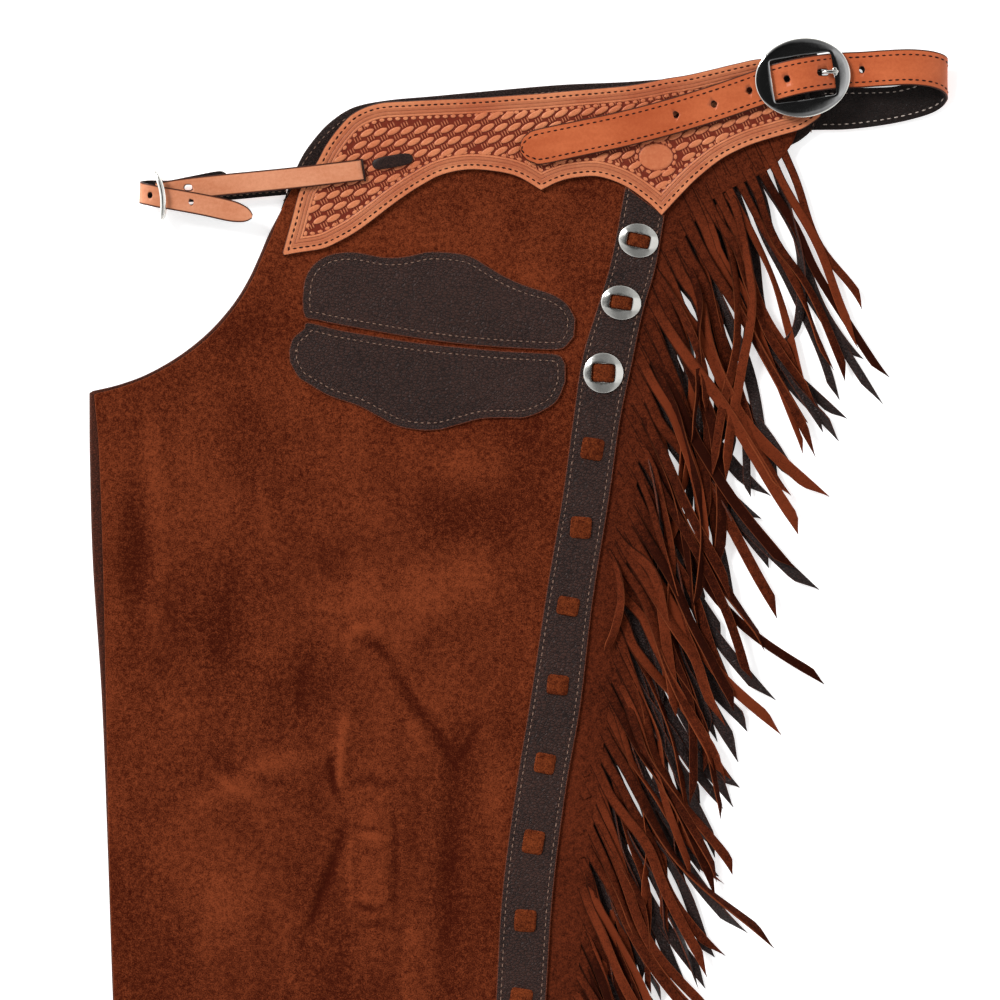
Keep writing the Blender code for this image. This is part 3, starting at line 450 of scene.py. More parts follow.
def own_values(piece, name, values):
    layer = piece.data.attributes.new(name, "FLOAT", "POINT")
    layer.data.foreach_set("value", np.asarray(values, np.float32))


BLOCK = 4000                         # points measured at a time, to spare memory


def edge_distance(points, outline):
    """Distance in mm of plan points from a closed outline in plan units."""
    starts, ends = outline, np.roll(outline, -1, axis=0)
    spans = ends - starts
    lengths = np.maximum((spans ** 2).sum(axis=1), 1e-9)
    nearest = np.empty(len(points))
    for first in range(0, len(points), BLOCK):
        block = points[first:first + BLOCK]
        away = block[:, None, :] - starts[None]
        share = np.clip((away * spans[None]).sum(axis=2) / lengths, 0, 1)
        gap = away - share[..., None] * spans[None]
        nearest[first:first + BLOCK] = np.sqrt((gap ** 2).sum(axis=2).min(axis=1))
    return nearest * UNIT / MM


def ring_faces(rings, size):
    """Walls between rings of points, and a cap on the first and the last."""
    faces = []
    for ring in range(rings - 1):
        near, far = ring * size, (ring + 1) * size
        for corner in range(size):
            after = (corner + 1) % size
            faces.append((near + corner, near + after, far + after, far + corner))
    faces.append(tuple(range(size)))
    faces.append(tuple(range((rings - 1) * size, rings * size)))
    return faces


def outline_of(rows):
    return np.vstack([rows[:, :2], rows[::-1, 2:]])


def flat_area(rows):
    """Area in square metres of a piece's cut, and its (width, length) along its own axes."""
    line = outline_of(rows) * UNIT
    x, y = line[:, 0], line[:, 1]
    area = float(abs((x * np.roll(y, -1) - y * np.roll(x, -1)).sum()) / 2)
    axes = np.linalg.eigh(np.cov(line.T))[1]
    width, length = np.ptp(line @ axes, axis=0)
    return area, (float(width), float(length))


def shell(name, rows, columns, low, high, finish, soften=0.8, below=10):
    """low and high give the wall's heights in mm from plan x, plan y and distance to the edge."""
    inset = soften * MM / UNIT
    share = np.concatenate([[0, 0], np.linspace(0, 1, columns), [1, 1]])
    offset = np.concatenate([[0, 0.25], 1 - 2 * np.linspace(0, 1, columns), [-0.25, 0]]) * inset
    drop = np.concatenate([[0.55, 0.16], np.zeros(columns), [0.16, 0.55]]) * soften
    back = np.linspace(1, 0, below)
    share = np.concatenate([share, back])
    offset = np.concatenate([offset, (1 - 2 * back) * inset * 0.3])
    start, end = rows[:, None, :2], rows[:, None, 2:]
    length = np.linalg.norm(end - start, axis=2, keepdims=True)
    travel = (share[None, :, None] * length + offset[None, :, None]) / length
    flat = start + (end - start) * travel
    size = len(share)
    flat = flat.reshape(-1, 2)
    rim = edge_distance(flat, outline_of(rows))
    on_top = np.tile(np.arange(size) < columns + 4, len(rows))
    heights = np.where(on_top, high(flat[:, 0], flat[:, 1], rim) - np.tile(
        np.concatenate([drop, np.zeros(below)]), len(rows)), low(flat[:, 0], flat[:, 1], rim))
    points = np.column_stack([ORIGIN.x + flat[:, 0] * UNIT, ORIGIN.y - flat[:, 1] * UNIT, heights * MM])
    piece = new_piece(name, points, ring_faces(len(rows), size), finish)
    own_values(piece, "rim_mm", np.where(on_top, rim, 9.0))
    print(f"{name}: {len(piece.data.polygons)} faces")
    return piece


def level(height):
    return lambda x, y, rim: np.full(len(x), float(height))


def lay(piece, nodes, slot, rows=None, rests_on=(), area=None, flat=None):
    """Hand a finished piece to the frame: what it replaces, and its cut if it is cloth; its slot is not used.
    """
    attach(piece, "root")
    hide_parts(*nodes)
    if rows is not None:
        area, flat = flat_area(rows)
    if flat is not None:
        print(f"  cut {flat[0]:.3f} x {flat[1]:.3f} m, {area:.4f} m2")
    return piece


# %% [markdown]
# ## The top leg
#
# The big panel is suede 2.2 mm thick.  It lies on the folded layers below, so it is nearly
# flat, but a stored hide keeps soft memories: long troughs, a pressed ridge, and the mark of
# a hand or a clip.  Each fold is one row of a table, a smooth bump or hollow of its own
# length, width, lean and height, and no two are alike.

# %% Leg outline and folds
RISE = [(306, 168, 794, 98), (295, 184, 776, 124), (283, 206, 737, 146), (273, 232, 690, 180),
        (264, 253, 650, 214), (252, 280, 634, 262), (236, 306, 620, 306), (212, 334, 611, 343),
        (182, 358, 604, 374), (148, 377, 600, 394), (118, 388, 597, 412), (94, 394, 593, 436)]
LEG = [(94, 394, 593, 436), (99, 452, 586, 490), (103, 564, 570, 596), (106, 700, 556, 702),
       (109, 853, 534, 846), (114, 1000, 521, 1000), (122, 1200, 508.5, 1200), (131, HEM, 498, HEM)]
SIDE_STRIP = [(625, 186.2, 664.5, 215.7), (611, 260, 656, 266), (597, 308, 643, 312),
              (582, 358, 632, 364), (573, 418, 620, 422), (562, 498, 608.5, 503),
              (546, 594, 593, 600), (530, 700, 580.5, 706), (516, 786, 566, 790),
              (502, 893, 553, 893), (495.7, 1000, 546, 1000), (484, 1200, 533, 1200),
              (474, HEM - 3, 522, HEM - 3)]
strip_rows = spline(SIDE_STRIP, 4)

# bumps and hollows: plan x and y, half length down the leg, half width, lean in degrees,
# height in mm, and how light (+) or dark (-) the colour is there, partly the lie of the nap
# and partly painted light on ridges and painted shade in hollows
FOLDS = [(137, 535, 80, 15, 2, -1.5, -0.30), (152, 470, 70, 11, -4, 0.6, 0.24),
         (156, 600, 60, 10, 6, 0.4, 0.16), (345, 745, 60, 13, 4, 1.4, 0.05),
         (378, 850, 84, 22, 2, 1.3, 0.20), (450, 860, 125, 13, 2, -1.6, -0.30),
         (236, 786, 44, 13, 62, 1.3, 0.32), (286, 762, 36, 10, 74, 0.7, 0.24),
         (385, 596, 26, 78, -8, 0.9, 0.22), (470, 580, 24, 40, 6, 0.5, 0.20),
         (460, 466, 22, 34, 0, 0.3, 0.20), (380, 522, 22, 34, 20, 0.3, 0.16),
         (478, 515, 34, 62, -4, -0.5, -0.26), (224, 620, 64, 28, 4, -0.7, -0.24),
         (110, 640, 90, 12, 2, 0.3, 0.10), (212, 900, 40, 46, 30, 0.7, 0.22),
         (332, 985, 52, 26, 8, -0.8, -0.26), (494, 800, 110, 11, -6, 0.6, 0.18),
         (410, 960, 60, 9, 6, 0.5, 0.16), (300, 690, 40, 46, 0, -0.4, -0.16),
         (420, 720, 34, 30, -30, 0.5, 0.12), (160, 1010, 120, 26, -6, -1.1, -0.2),
         (300, 1130, 110, 22, 8, 1.5, 0.2), (170, 760, 70, 26, -8, -0.3, -0.12),
         (420, 1220, 120, 18, -4, -1.2, -0.2), (225, 1290, 70, 26, 14, 1.3, 0.2),
         (400, 232, 20, 60, 6, 0.3, 0.14), (540, 300, 60, 16, -10, 0.2, 0.14),
         (240, 330, 26, 34, 30, 0.2, -0.16), (530, 440, 60, 26, -8, 0.0, -0.14)]
# creases: half width, height in mm, nap and painted light or shade (+ lighter, - darker),
# and the line each one follows
PRESSED = [(4.5, 0.9, 0.34, [(349, 656), (349, 640), (356, 630), (372, 627), (384, 630)]),
           (6.0, -0.6, -0.26, [(360, 642), (376, 645), (392, 662)]),
           (6.5, -1.1, -0.34, [(385, 655), (412, 700), (440, 738), (455, 770)]),
           (5.5, -0.7, -0.26, [(482, 716), (470, 742), (456, 766)]),
           (3.6, 0.8, 0.36, [(348, 706), (343, 740), (339, 782), (337, 806)]),
           (4.5, -0.8, -0.36, [(331, 752), (334, 784), (344, 806)]),
           (5.0, -1.0, -0.36, [(344, 820), (334, 860), (318, 904), (300, 944)]),
           (3.4, 0.5, 0.18, [(352, 824), (350, 870), (352, 914)]),
           (3.6, -0.5, -0.22, [(393, 790), (396, 850), (393, 930)]),
           (3.0, -0.45, -0.28, [(355, 831), (370, 829), (386, 832)]),
           (3.0, 0.4, 0.2, [(354, 838), (370, 836), (388, 839)]),
           (3.0, -0.4, -0.24, [(356, 849), (372, 852), (386, 849)]),
           (3.2, 0.45, 0.22, [(354, 897), (372, 899), (388, 896)]),
           (3.2, -0.5, -0.30, [(356, 906), (372, 909), (388, 906)]),
           (3.4, -0.5, -0.28, [(354, 922), (372, 925), (386, 921)]),
           (4.0, -0.5, -0.26, [(352, 786), (368, 780), (384, 786), (400, 778)]),
           (4.0, 0.5, 0.2, [(205, 768), (236, 790), (262, 806)]),
           (5.0, -0.5, -0.2, [(222, 762), (250, 776), (290, 786)]),
           (5.0, 0.3, 0.12, [(266, 452), (262, 500), (272, 548)]),
           (6.0, -0.3, -0.12, [(320, 640), (300, 680), (304, 724)]),
           (5.0, -0.4, -0.16, [(176, 1040), (190, 1120), (184, 1190)]),
           (6.0, 0.5, 0.16, [(356, 1030), (372, 1100), (360, 1190)])]
LOFT = 1.4


def fold_sum(x, y, column):
    total = np.zeros(len(x))
    for fold in FOLDS:
        angle = math.radians(fold[4])
        along = (y - fold[1]) * math.cos(angle) - (x - fold[0]) * math.sin(angle)
        across = (x - fold[0]) * math.cos(angle) + (y - fold[1]) * math.sin(angle)
        total += fold[column] * np.exp(-(along / fold[2]) ** 2 - (across / fold[3]) ** 2)
    return total


def crease_sum(x, y, column):
    """Each crease fades in and out along its own line."""
    total = np.zeros(len(x))
    for crease in PRESSED:
        line = pace(spline(crease[3], 6), 2.0)
        near = np.flatnonzero((np.abs(x - line[:, 0].mean()) < np.ptp(line[:, 0]) / 2 + 24) &
                              (np.abs(y - line[:, 1].mean()) < np.ptp(line[:, 1]) / 2 + 24))
        gap = np.hypot(x[near, None] - line[None, :, 0], y[near, None] - line[None, :, 1])
        closest = gap.argmin(axis=1)
        fade = np.sin(math.pi * np.clip(closest / (len(line) - 1), 0.03, 0.97)) ** 0.7
        total[near] += crease[column] * fade * np.exp(-(gap.min(axis=1) / crease[0]) ** 2)
    return total


def panel_lift(x, y, small=1.0):
    """How far the leg stands off the layers below, in mm."""
    strip_left = np.interp(y, strip_rows[:, 1], strip_rows[:, 0])
    fade = ramp(446, 540, y) * ramp(0, 44, strip_left - 6 - x)
    height = LOFT * ramp(92, 140, x) + fold_sum(x, y, 5)
    press = crease_sum(x, y, 1) * small * 1.5
    away = ramp(0, 30, strip_left - 4 - x) * ramp(432, 470, y)
    return np.maximum(height, 0.0) * fade + press * away


leg_rows = pace(np.vstack([spline(RISE, 6)[:-1], spline(LEG, 24)]), 3.2)
top_leg = shell("top_leg", leg_rows, 150, lambda x, y, rim: PANEL_LOW + panel_lift(x, y, 0.5),
                lambda x, y, rim: PANEL_TOP + panel_lift(x, y), LEG_SUEDE, soften=1.1, below=24)
leg_places = np.array([vertex.co for vertex in top_leg.data.vertices])
leg_x, leg_y = (leg_places[:, 0] - ORIGIN.x) / UNIT, (ORIGIN.y - leg_places[:, 1]) / UNIT
# the nap attribute: lighter on ridges, darker in troughs and creases, partly nap and partly painted light and
# shade
own_values(top_leg, "nap", fold_sum(leg_x, leg_y, 6) + crease_sum(leg_x, leg_y, 2) * 1.4)
lay(top_leg, ["leg_panel"], "suede", leg_rows, rests_on=["under_leg"])

# %% [markdown]
# ## The layers beneath
#
# Below the top panel lie its own hidden half and the other leg.  Nobody sees them but at the
# front, where their cut edges make a thin stack, so they are one form with two lips, and the
# underside is flat on the floor.

# %% Lower leg
UNDER_EDGE = [(282, 208), (269, 233), (260, 254), (248.5, 279), (233, 304), (209.5, 331),
              (180, 355), (147, 374), (117, 385), (89, 391.5), (89.5, 460), (92.5, 564),
              (101.5, 700), (107.5, 853), (112.5, 1000), (121, 1200), (130, HEM)]
UNDER_START = (734, 151)
LIPS = [(1.2, 0.0), (0.3, 0.3), (0.0, 0.9), (0.0, 1.7), (0.4, 2.4), (1.6, 2.7), (1.4, 3.0), (0.9, 3.4),
        (0.8, 4.2), (1.2, 5.0), (2.2, 5.4), (6.5, UNDER_TOP)]
seam = [row[2:] for row in RISE[2:]] + [row[2:] for row in LEG[1:]]
under_rows = np.array([(*edge, *end) for edge, end in zip(UNDER_EDGE, seam)], float)
under_rows[0, 2:] = UNDER_START
crotch = len(RISE) - 3
under_rows = pace(np.vstack([spline(under_rows[:crotch + 1], 4)[:-1], spline(under_rows[crotch:], 16)]), 4.0)


def stacked(name, rows, lips, top, finish):
    """A flat-bottomed form whose a side shows a stack of cut edges."""
    points = []
    for ax, ay, bx, by in rows:
        start, end = plan(ax, ay), plan(bx, by)
        across = (end - start).normalized() * MM
        ring = [(start + across * inset, height) for inset, height in lips]
        ring += [(end, top), (end, 0.0)]
        points += [(place.x, place.y, height * MM) for place, height in ring]
    return new_piece(name, points, ring_faces(len(rows), len(lips) + 2), finish)


under_finish = dark_grain("layered_edge", tint(46, 22, 13), tint(84, 38, 22), tint(98, 55, 42), 0.8)
lower_leg = stacked("lower_leg", under_rows, LIPS, UNDER_TOP, under_finish)
own_values(lower_leg, "rim_mm", np.tile([0.5] * 5 + [3.0] * 3 + [0.6] * 2 + [5.0] * 4, len(under_rows)))
lay(lower_leg, ["under_leg"], "reverse", under_rows)

# %% [markdown]
# The other leg's yoke peeps out beyond the tan one: its dark reverse, with a pale row of
# stitches near the edge.

# %% Dark yoke of the other leg
UNDER_YOKE = [(286.5, 193, 281, 209), (299.5, 161, 306, 202), (312.5, 141, 332, 199), (330, 122, 360, 195),
              (354, 107, 388, 191), (388, 100, 418, 187), (432, 96, 455, 182), (497, 90, 510, 175),
              (562, 84.5, 570, 167), (620, 82, 625, 160), (657, 79.4, 662, 155), (690, 77, 694, 151),
              (740, 68, 730, 147), (786, 72, 756, 145.5), (810, 90, 779, 149), (819, 112, 797, 142),
              (814, 128, 807, 135)]
dark_yoke_rows = spline(UNDER_YOKE, 6)
YOKE_LIPS = [(0.9, 0.0), (0.2, 0.3), (0.0, 0.9), (0.0, UNDER_TOP - 1.3), (0.4, UNDER_TOP - 0.4),
             (1.2, UNDER_TOP), (6.0, UNDER_TOP)]
dark_yoke = stacked("dark_yoke", dark_yoke_rows, YOKE_LIPS, UNDER_TOP, REVERSE)
own_values(dark_yoke, "rim_mm", np.tile([0.2, 0.4, 0.6, 0.6, 0.8, 2.0, 5.0, 9.0, 9.0], len(dark_yoke_rows)))
lay(dark_yoke, ["under_yoke"], "reverse", dark_yoke_rows)


# %% [markdown]
# ## Geometry Nodes for what repeats
#
# Stitches, stamps and strands repeat hundreds of times along a line or over a field.  Each is
# one small tree with named inputs.  A plain helper object carries the points, the tree turns
# them into real geometry, and the result is baked to a mesh.

# %% Tree helpers
def start_tree(name, sizes):
    group = bpy.data.node_groups.new(name, "GeometryNodeTree")
    face = group.interface
    face.new_socket("Geometry", in_out="INPUT", socket_type="NodeSocketGeometry")
    for label, value in sizes.items():
        kind = "NodeSocketInt" if isinstance(value, int) else "NodeSocketFloat"
        face.new_socket(label, in_out="INPUT", socket_type=kind).default_value = value
    face.new_socket("Finish", in_out="INPUT", socket_type="NodeSocketMaterial")
    face.new_socket("Geometry", in_out="OUTPUT", socket_type="NodeSocketGeometry")
    return group, Wire(group).node("NodeGroupInput")


def end_tree(start, geometry):
    real = start.node("GeometryNodeRealizeInstances", inputs={"Geometry": geometry})
    smooth = start.node("GeometryNodeSetShadeSmooth", inputs={"Geometry": real})
    dressed = start.node("GeometryNodeSetMaterial", inputs={"Geometry": smooth,
                                                            "Material": start.other("Finish")})
    start.node("NodeGroupOutput", inputs={"Geometry": dressed})


def point_set(name, places, edges, values=None):
    mesh = bpy.data.meshes.new(name)
    mesh.from_pydata([tuple(place) for place in places], edges, [])
    holder = bpy.data.objects.new(name, mesh)
    bpy.context.scene.collection.objects.link(holder)
    for label, numbers in (values or {}).items():
        own_values(holder, label, numbers)
    return holder


def grow(name, holder, tree, finish, **sizes):
    """Run a tree on a holder, keep the result as a plain mesh and drop the holder."""
    modifier = holder.modifiers.new(tree.name, "NODES")
    modifier.node_group = tree
    wanted = {"Finish": finish, **{label.replace("_", " "): value for label, value in sizes.items()}}
    for item in tree.interface.items_tree:
        if item.item_type == "SOCKET" and item.in_out == "INPUT" and item.name in wanted:
            modifier[item.identifier] = wanted[item.name]
    graph = bpy.context.evaluated_depsgraph_get()
    mesh = bpy.data.meshes.new_from_object(holder.evaluated_get(graph), depsgraph=graph)
    mesh.name = name
    bpy.data.objects.remove(holder, do_unlink=True)
    piece = bpy.data.objects.new(name, mesh)
    bpy.context.scene.collection.objects.link(piece)
    triangles = sum(len(face.vertices) - 2 for face in mesh.polygons)
    print(f"{name}: {triangles} triangles")
    return piece


# %% [markdown]
# ### The stitch tree
#
# A row of stitches is a thread that dips through the leather at an even pitch.  What shows is
# a short, fat dash.  The tree walks along each line, sets a point every `Pitch`, and lays a
# stretched sphere along the line there, each a little different in length.

# %% Stitch tree
def stitch_tree():
    tree, start = start_tree("stitches", {"Pitch": 0.0052, "Length": 0.0034, "Width": 0.0011,
                                          "Height": 0.0008, "Seed": 3})
    curve = start.node("GeometryNodeMeshToCurve", inputs={"Mesh": start})
    stops = start.node("GeometryNodeCurveToPoints", {"mode": "LENGTH"},
                       {"Curve": curve, "Length": start.other("Pitch")})
    turn = start.node("FunctionNodeAlignRotationToVector", {"axis": "X"}, {"Vector": stops.other("Tangent")})
    dash = start.node("GeometryNodeMeshUVSphere", inputs={"Segments": 8, "Rings": 5, "Radius": 0.5})
    size = start.node("ShaderNodeCombineXYZ", inputs={0: start.other("Length"), 1: start.other("Width"),
                                                      2: start.other("Height")})
    dash = start.node("GeometryNodeTransform", inputs={"Geometry": dash, "Scale": size})
    vary = start.node("FunctionNodeRandomValue", {"data_type": "FLOAT"},
                      {2: 0.86, 3: 1.1, "Seed": start.other("Seed")}, out=1)
    laid = start.node("GeometryNodeInstanceOnPoints",
                      inputs={"Points": stops, "Instance": dash, "Rotation": turn, "Scale": vary})
    end_tree(start, laid)
    return tree


STITCHES = stitch_tree()


def sewn(name, lines, finish, **sizes):
    """Stitches along lines of points in metres."""
    places, edges = [], []
    for line in lines:
        base = len(places)
        places += [tuple(place) for place in line]
        edges += [(base + step, base + step + 1) for step in range(len(line) - 1)]
    piece = grow(name, point_set(name, places, edges), STITCHES, finish, **sizes)
    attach(piece, "root")
    return piece


def raised(line, height):
    """A line of plan points at a height in mm, as places in metres."""
    return [(*plan(x, y), height * MM) for x, y in line]


def inset_line(outline, inset, pitch=1.0):
    """The closed line that runs inside an outline at a distance in mm."""
    line = pace(np.vstack([outline, outline[:1]]), pitch)[:-1]
    run = np.roll(line, -1, axis=0) - np.roll(line, 1, axis=0)
    run /= np.maximum(np.linalg.norm(run, axis=1, keepdims=True), 1e-9)
    x, y = outline[:, 0], outline[:, 1]
    side = np.sign((x * np.roll(y, -1) - y * np.roll(x, -1)).sum())
    moved = line + np.column_stack([-run[:, 1], run[:, 0]]) * side * inset * MM / UNIT
    kept = moved[edge_distance(moved, outline) > inset - 0.12]
    return np.vstack([kept, kept[:1]])


sewn_row = [(start + (end - start) * min(7.0 / np.linalg.norm(end - start), 0.4))
            for start, end in ((row[:2], row[2:]) for row in pace(dark_yoke_rows, 2.0))]
sewn("dark_yoke_stitches", [raised(sewn_row, UNDER_TOP)], PALE_THREAD, Width=0.0009, Height=0.0009)

# %% [markdown]
# ## The tan yoke
#
# The yoke carries the belt, so it is the thickest leather, 3 mm.  A tooler leaves a smooth
# border, cuts two creases inside it, presses a row of small shells along the inner crease,
# and fills the field with a basket weave.  The field sits lower than the border, so the
# height of the shell falls off there; one round spot stays plain and high.

# %% Yoke
YOKE_FRONT = [(282.6, 252.5, 283.5, 255.8), (291, 222, 300, 252.8), (299.5, 191, 323, 249),
              (309, 175, 340, 241.5), (318, 160, 356, 232.5), (326, 145, 372, 221),
              (338.5, 128, 388, 208.6), (354, 113, 404, 197), (378, 103.5, 421, 186),
              (410, 101, 442.6, 175), (440, 99.5, 468.6, 170), (475, 98, 497, 172),
              (510, 95.5, 518.5, 177.5), (543, 93.3, 541, 190.6)]
YOKE_ARCH = [(543, 93.3, 541, 190.6), (570, 90.8, 559, 182), (592, 89, 577, 177.8),
             (611, 87.3, 599, 177.2), (629, 85.5, 624, 186), (647, 82.5, 647, 202),
             (666, 78.5, 661.5, 216)]
YOKE_BACK = [(666, 78.5, 661.5, 216), (688, 75, 679, 197), (712, 69.5, 698, 178),
             (737, 63.5, 723, 158.5), (760, 59, 751, 145), (784, 60, 780, 136),
             (806, 71, 800, 130), (820, 89, 812.7, 122.7), (825.5, 106, 820, 117)]
yoke_rows = pace(np.vstack([spline(YOKE_FRONT, 12)[:-1], spline(YOKE_ARCH, 12)[:-1],
                            spline(YOKE_BACK, 12)]), 1.3)
yoke_outline = outline_of(yoke_rows)
SPOT = (656, 157, 12.6, 9.9)                   # place and half sizes in mm of the plain oval spot
FIELD_EDGE = 11.6                              # mm from the cut edge to the tooled field
STITCH_INSET = 3.9                             # mm from the cut edge to a row of stitches
POCKET_INSET = 5.8                             # the same on the pocket


def spot_share(x, y, margin):
    """1 on the outline of the spot widened by a margin in mm."""
    return np.hypot((x - SPOT[0]) / (SPOT[2] + margin), (y - SPOT[1]) / (SPOT[3] + margin)) * UNIT / MM


def yoke_top(x, y, rim):
    field = ramp(FIELD_EDGE, FIELD_EDGE + 0.9, rim) * ramp(1.0, 1.09, spot_share(x, y, 0.0))
    creases = sum(np.exp(-((rim - crease) / 0.45) ** 2) for crease in CREASES)
    groove = np.exp(-((rim - STITCH_INSET) / 0.8) ** 2)
    return YOKE_TOP - FIELD_DEPTH * field - 0.28 * creases - 0.22 * groove


tan_yoke = shell("tan_yoke", yoke_rows, 88, level(TRIM_LOW), yoke_top, YOKE_TAN, soften=0.9)
print("yoke rows", len(yoke_rows))

# %% [markdown]
# ### Stamps
#
# One tree presses every stamp.  It starts from a sphere, flattens its crown, keeps the part
# above the ground and sets it on each point, turned by the point's own angle.

# %% Stamp tree
def stamp_tree():
    tree, start = start_tree("stamps", {"Length": 0.01, "Width": 0.005, "Height": 0.001, "Crown": 1.4})
    ball = start.node("GeometryNodeMeshUVSphere", inputs={"Segments": 14, "Rings": 10, "Radius": 1.0})
    place = start.node("GeometryNodeInputPosition")
    axes = start.node("ShaderNodeSeparateXYZ", inputs={0: place}, out="X")
    up = (axes.other("Z") * start.other("Crown")).least(1.0)
    moved = start.node("ShaderNodeCombineXYZ", inputs={
        0: axes * start.other("Length") * 0.5, 1: axes.other("Y") * start.other("Width") * 0.5,
        2: up * start.other("Height")})
    pad = start.node("GeometryNodeSetPosition", inputs={"Geometry": ball, "Position": moved})
    low = start.node("FunctionNodeCompare", {"data_type": "FLOAT", "operation": "LESS_THAN"},
                     {0: start.node("ShaderNodeSeparateXYZ", inputs={
                         0: start.node("GeometryNodeInputPosition")}, out="Z"), 1: -0.0002})
    pad = start.node("GeometryNodeDeleteGeometry", {"domain": "POINT"}, {"Geometry": pad, "Selection": low})
    angle = start.node("GeometryNodeInputNamedAttribute", {"data_type": "FLOAT"}, {"Name": "turn"})
    turn = start.node("FunctionNodeEulerToRotation", inputs={
        0: start.node("ShaderNodeCombineXYZ", inputs={2: angle})})
    points = start.node("GeometryNodeMeshToPoints", inputs={"Mesh": start})
    laid = start.node("GeometryNodeInstanceOnPoints", inputs={"Points": points, "Instance": pad,
                                                              "Rotation": turn})
    end_tree(start, laid)
    return tree


STAMPS = stamp_tree()


def stamped(name, spots, finish, **sizes):
    """Stamps at rows of plan x, plan y, height in mm and turn in degrees."""
    spots = np.array(spots)
    places = [(*plan(x, y), z * MM) for x, y, z in spots[:, :3]]
    holder = point_set(name, places, [], {"turn": np.radians(spots[:, 3])})
    piece = grow(name, holder, STAMPS, finish, **sizes)
    own_values(piece, "rim_mm", np.full(len(piece.data.vertices), 20.0))
    return piece


# %% [markdown]
# The basket weave is a slanted brick pattern: raised ovals in rows, each row shifted by half
# a step, with a few short ridges across each gap.  Points that would fall on the border or on
# the round spot are left out.

# %% Basket weave and shells
WEAVE_STEP, WEAVE_ROW = 13.4, 11.7         # plan units
WEAVE_TURN, BAR_TURN = 28.0, 116.0         # degrees
SHELL_PITCH, SPOT_SHELLS = 6.2, 16         # mm along the border, and how many round the spot


def weave_points(shift_x, shift_y, margin):
    """Half-stepped rows that bend with the yoke."""
    spots = []
    for row in range(-6, 22):
        for step in range(-2, 44):
            x = 280 + WEAVE_STEP * (step + 0.5 * (row % 2)) + shift_x
            y = 93 + WEAVE_ROW * row - 0.026 * (x - 480) - 1.39e-6 * (x - 480) ** 3 + shift_y
            spots.append((x, y))
    spots = np.array(spots)
    inside = edge_distance(spots, yoke_outline)
    x, y = spots[:, :1], spots[:, 1:]
    x0, y0 = yoke_outline[:, 0], yoke_outline[:, 1]
    x1, y1 = np.roll(x0, -1), np.roll(y0, -1)
    crosses = ((y0 > y) != (y1 > y)) & (x < (x1 - x0) * (y - y0) / np.where(y1 == y0, 1e-9, y1 - y0) + x0)
    within = crosses.sum(axis=1) % 2 == 1
    clear_spot = spot_share(spots[:, 0], spots[:, 1], margin) > 1.0
    return spots[within & (inside > FIELD_EDGE + margin) & clear_spot]


ground = YOKE_TOP - FIELD_DEPTH - 0.1      # stamps start a little below the field
ovals = [(x, y, ground, WEAVE_TURN) for x, y in weave_points(0.0, 0.0, 2.9)]
bars = [(x + shift, y - shift * 0.5, ground, BAR_TURN) for x, y in weave_points(4.0, 5.7, 1.2)
        for shift in (-2.5, 0.0, 2.5)]
shell_line = pace(inset_line(yoke_outline, FIELD_EDGE + 1.9), SHELL_PITCH)
shells = []
for near, far in zip(shell_line, shell_line[1:]):
    run = far - near
    shells.append((*near, ground, math.degrees(math.atan2(-run[1], run[0]))))
for step in range(SPOT_SHELLS):
    angle = 2 * math.pi * step / SPOT_SHELLS
    x = SPOT[0] + (SPOT[2] + 2.6) * math.cos(angle) * MM / UNIT
    y = SPOT[1] - (SPOT[3] + 2.6) * math.sin(angle) * MM / UNIT
    shells.append((x, y, ground, math.degrees(angle) + 90))
weave = [stamped("weave_ovals", ovals, YOKE_TAN, Length=0.0127, Width=0.0050, Height=0.0009),
         stamped("weave_bars", bars, YOKE_TAN, Length=0.0048, Width=0.0012, Height=0.00055),
         stamped("border_shells", shells, YOKE_TAN, Length=0.0046, Width=0.0030, Height=0.00072)]
print(len(ovals), "ovals,", len(bars), "bars,", len(shells), "shells")
for stamp in weave:
    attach(stamp, "root")
lay(tan_yoke, ["yoke"], "tan", yoke_rows, rests_on=["top_leg"])
sewn("yoke_stitches", [raised(inset_line(yoke_outline, STITCH_INSET), YOKE_TOP - 0.12)], DARK_THREAD,
     Pitch=0.0050, Length=0.0034, Width=0.0014)

# %% [markdown]
# ## Outseam strip and pocket
#
# A dark strip with its smooth side out covers the seam, and two scalloped lobes make the
# pocket, which opens along the slit between them.  Both are thin, with a pale cut edge and a
# row of stitches inside it.

# %% Strip and pocket
long_strip = pace(spline(SIDE_STRIP, 16), 4.0)


def strip_top(x, y, rim):
    return STRIP_TOP - 0.35 * np.exp(-(rim - STITCH_INSET) ** 2)


strip = shell("outseam_strip", long_strip, 22, level(TRIM_LOW), strip_top, TRIM_GRAIN, soften=0.7)
lay(strip, ["side_strip"], "grain", long_strip, rests_on=["top_leg"])
edge_rows = []
for end, other in ((slice(0, 2), slice(2, 4)), (slice(2, 4), slice(0, 2))):
    line = []
    for row in long_strip:
        span = row[other] - row[end]
        line.append(row[end] + span * STITCH_INSET * MM / UNIT / np.linalg.norm(span))
    edge_rows.append(raised(line, STRIP_TOP - 0.25))
sewn("strip_stitches", edge_rows, PALE_THREAD, Pitch=0.0052, Length=0.0033, Width=0.0009)

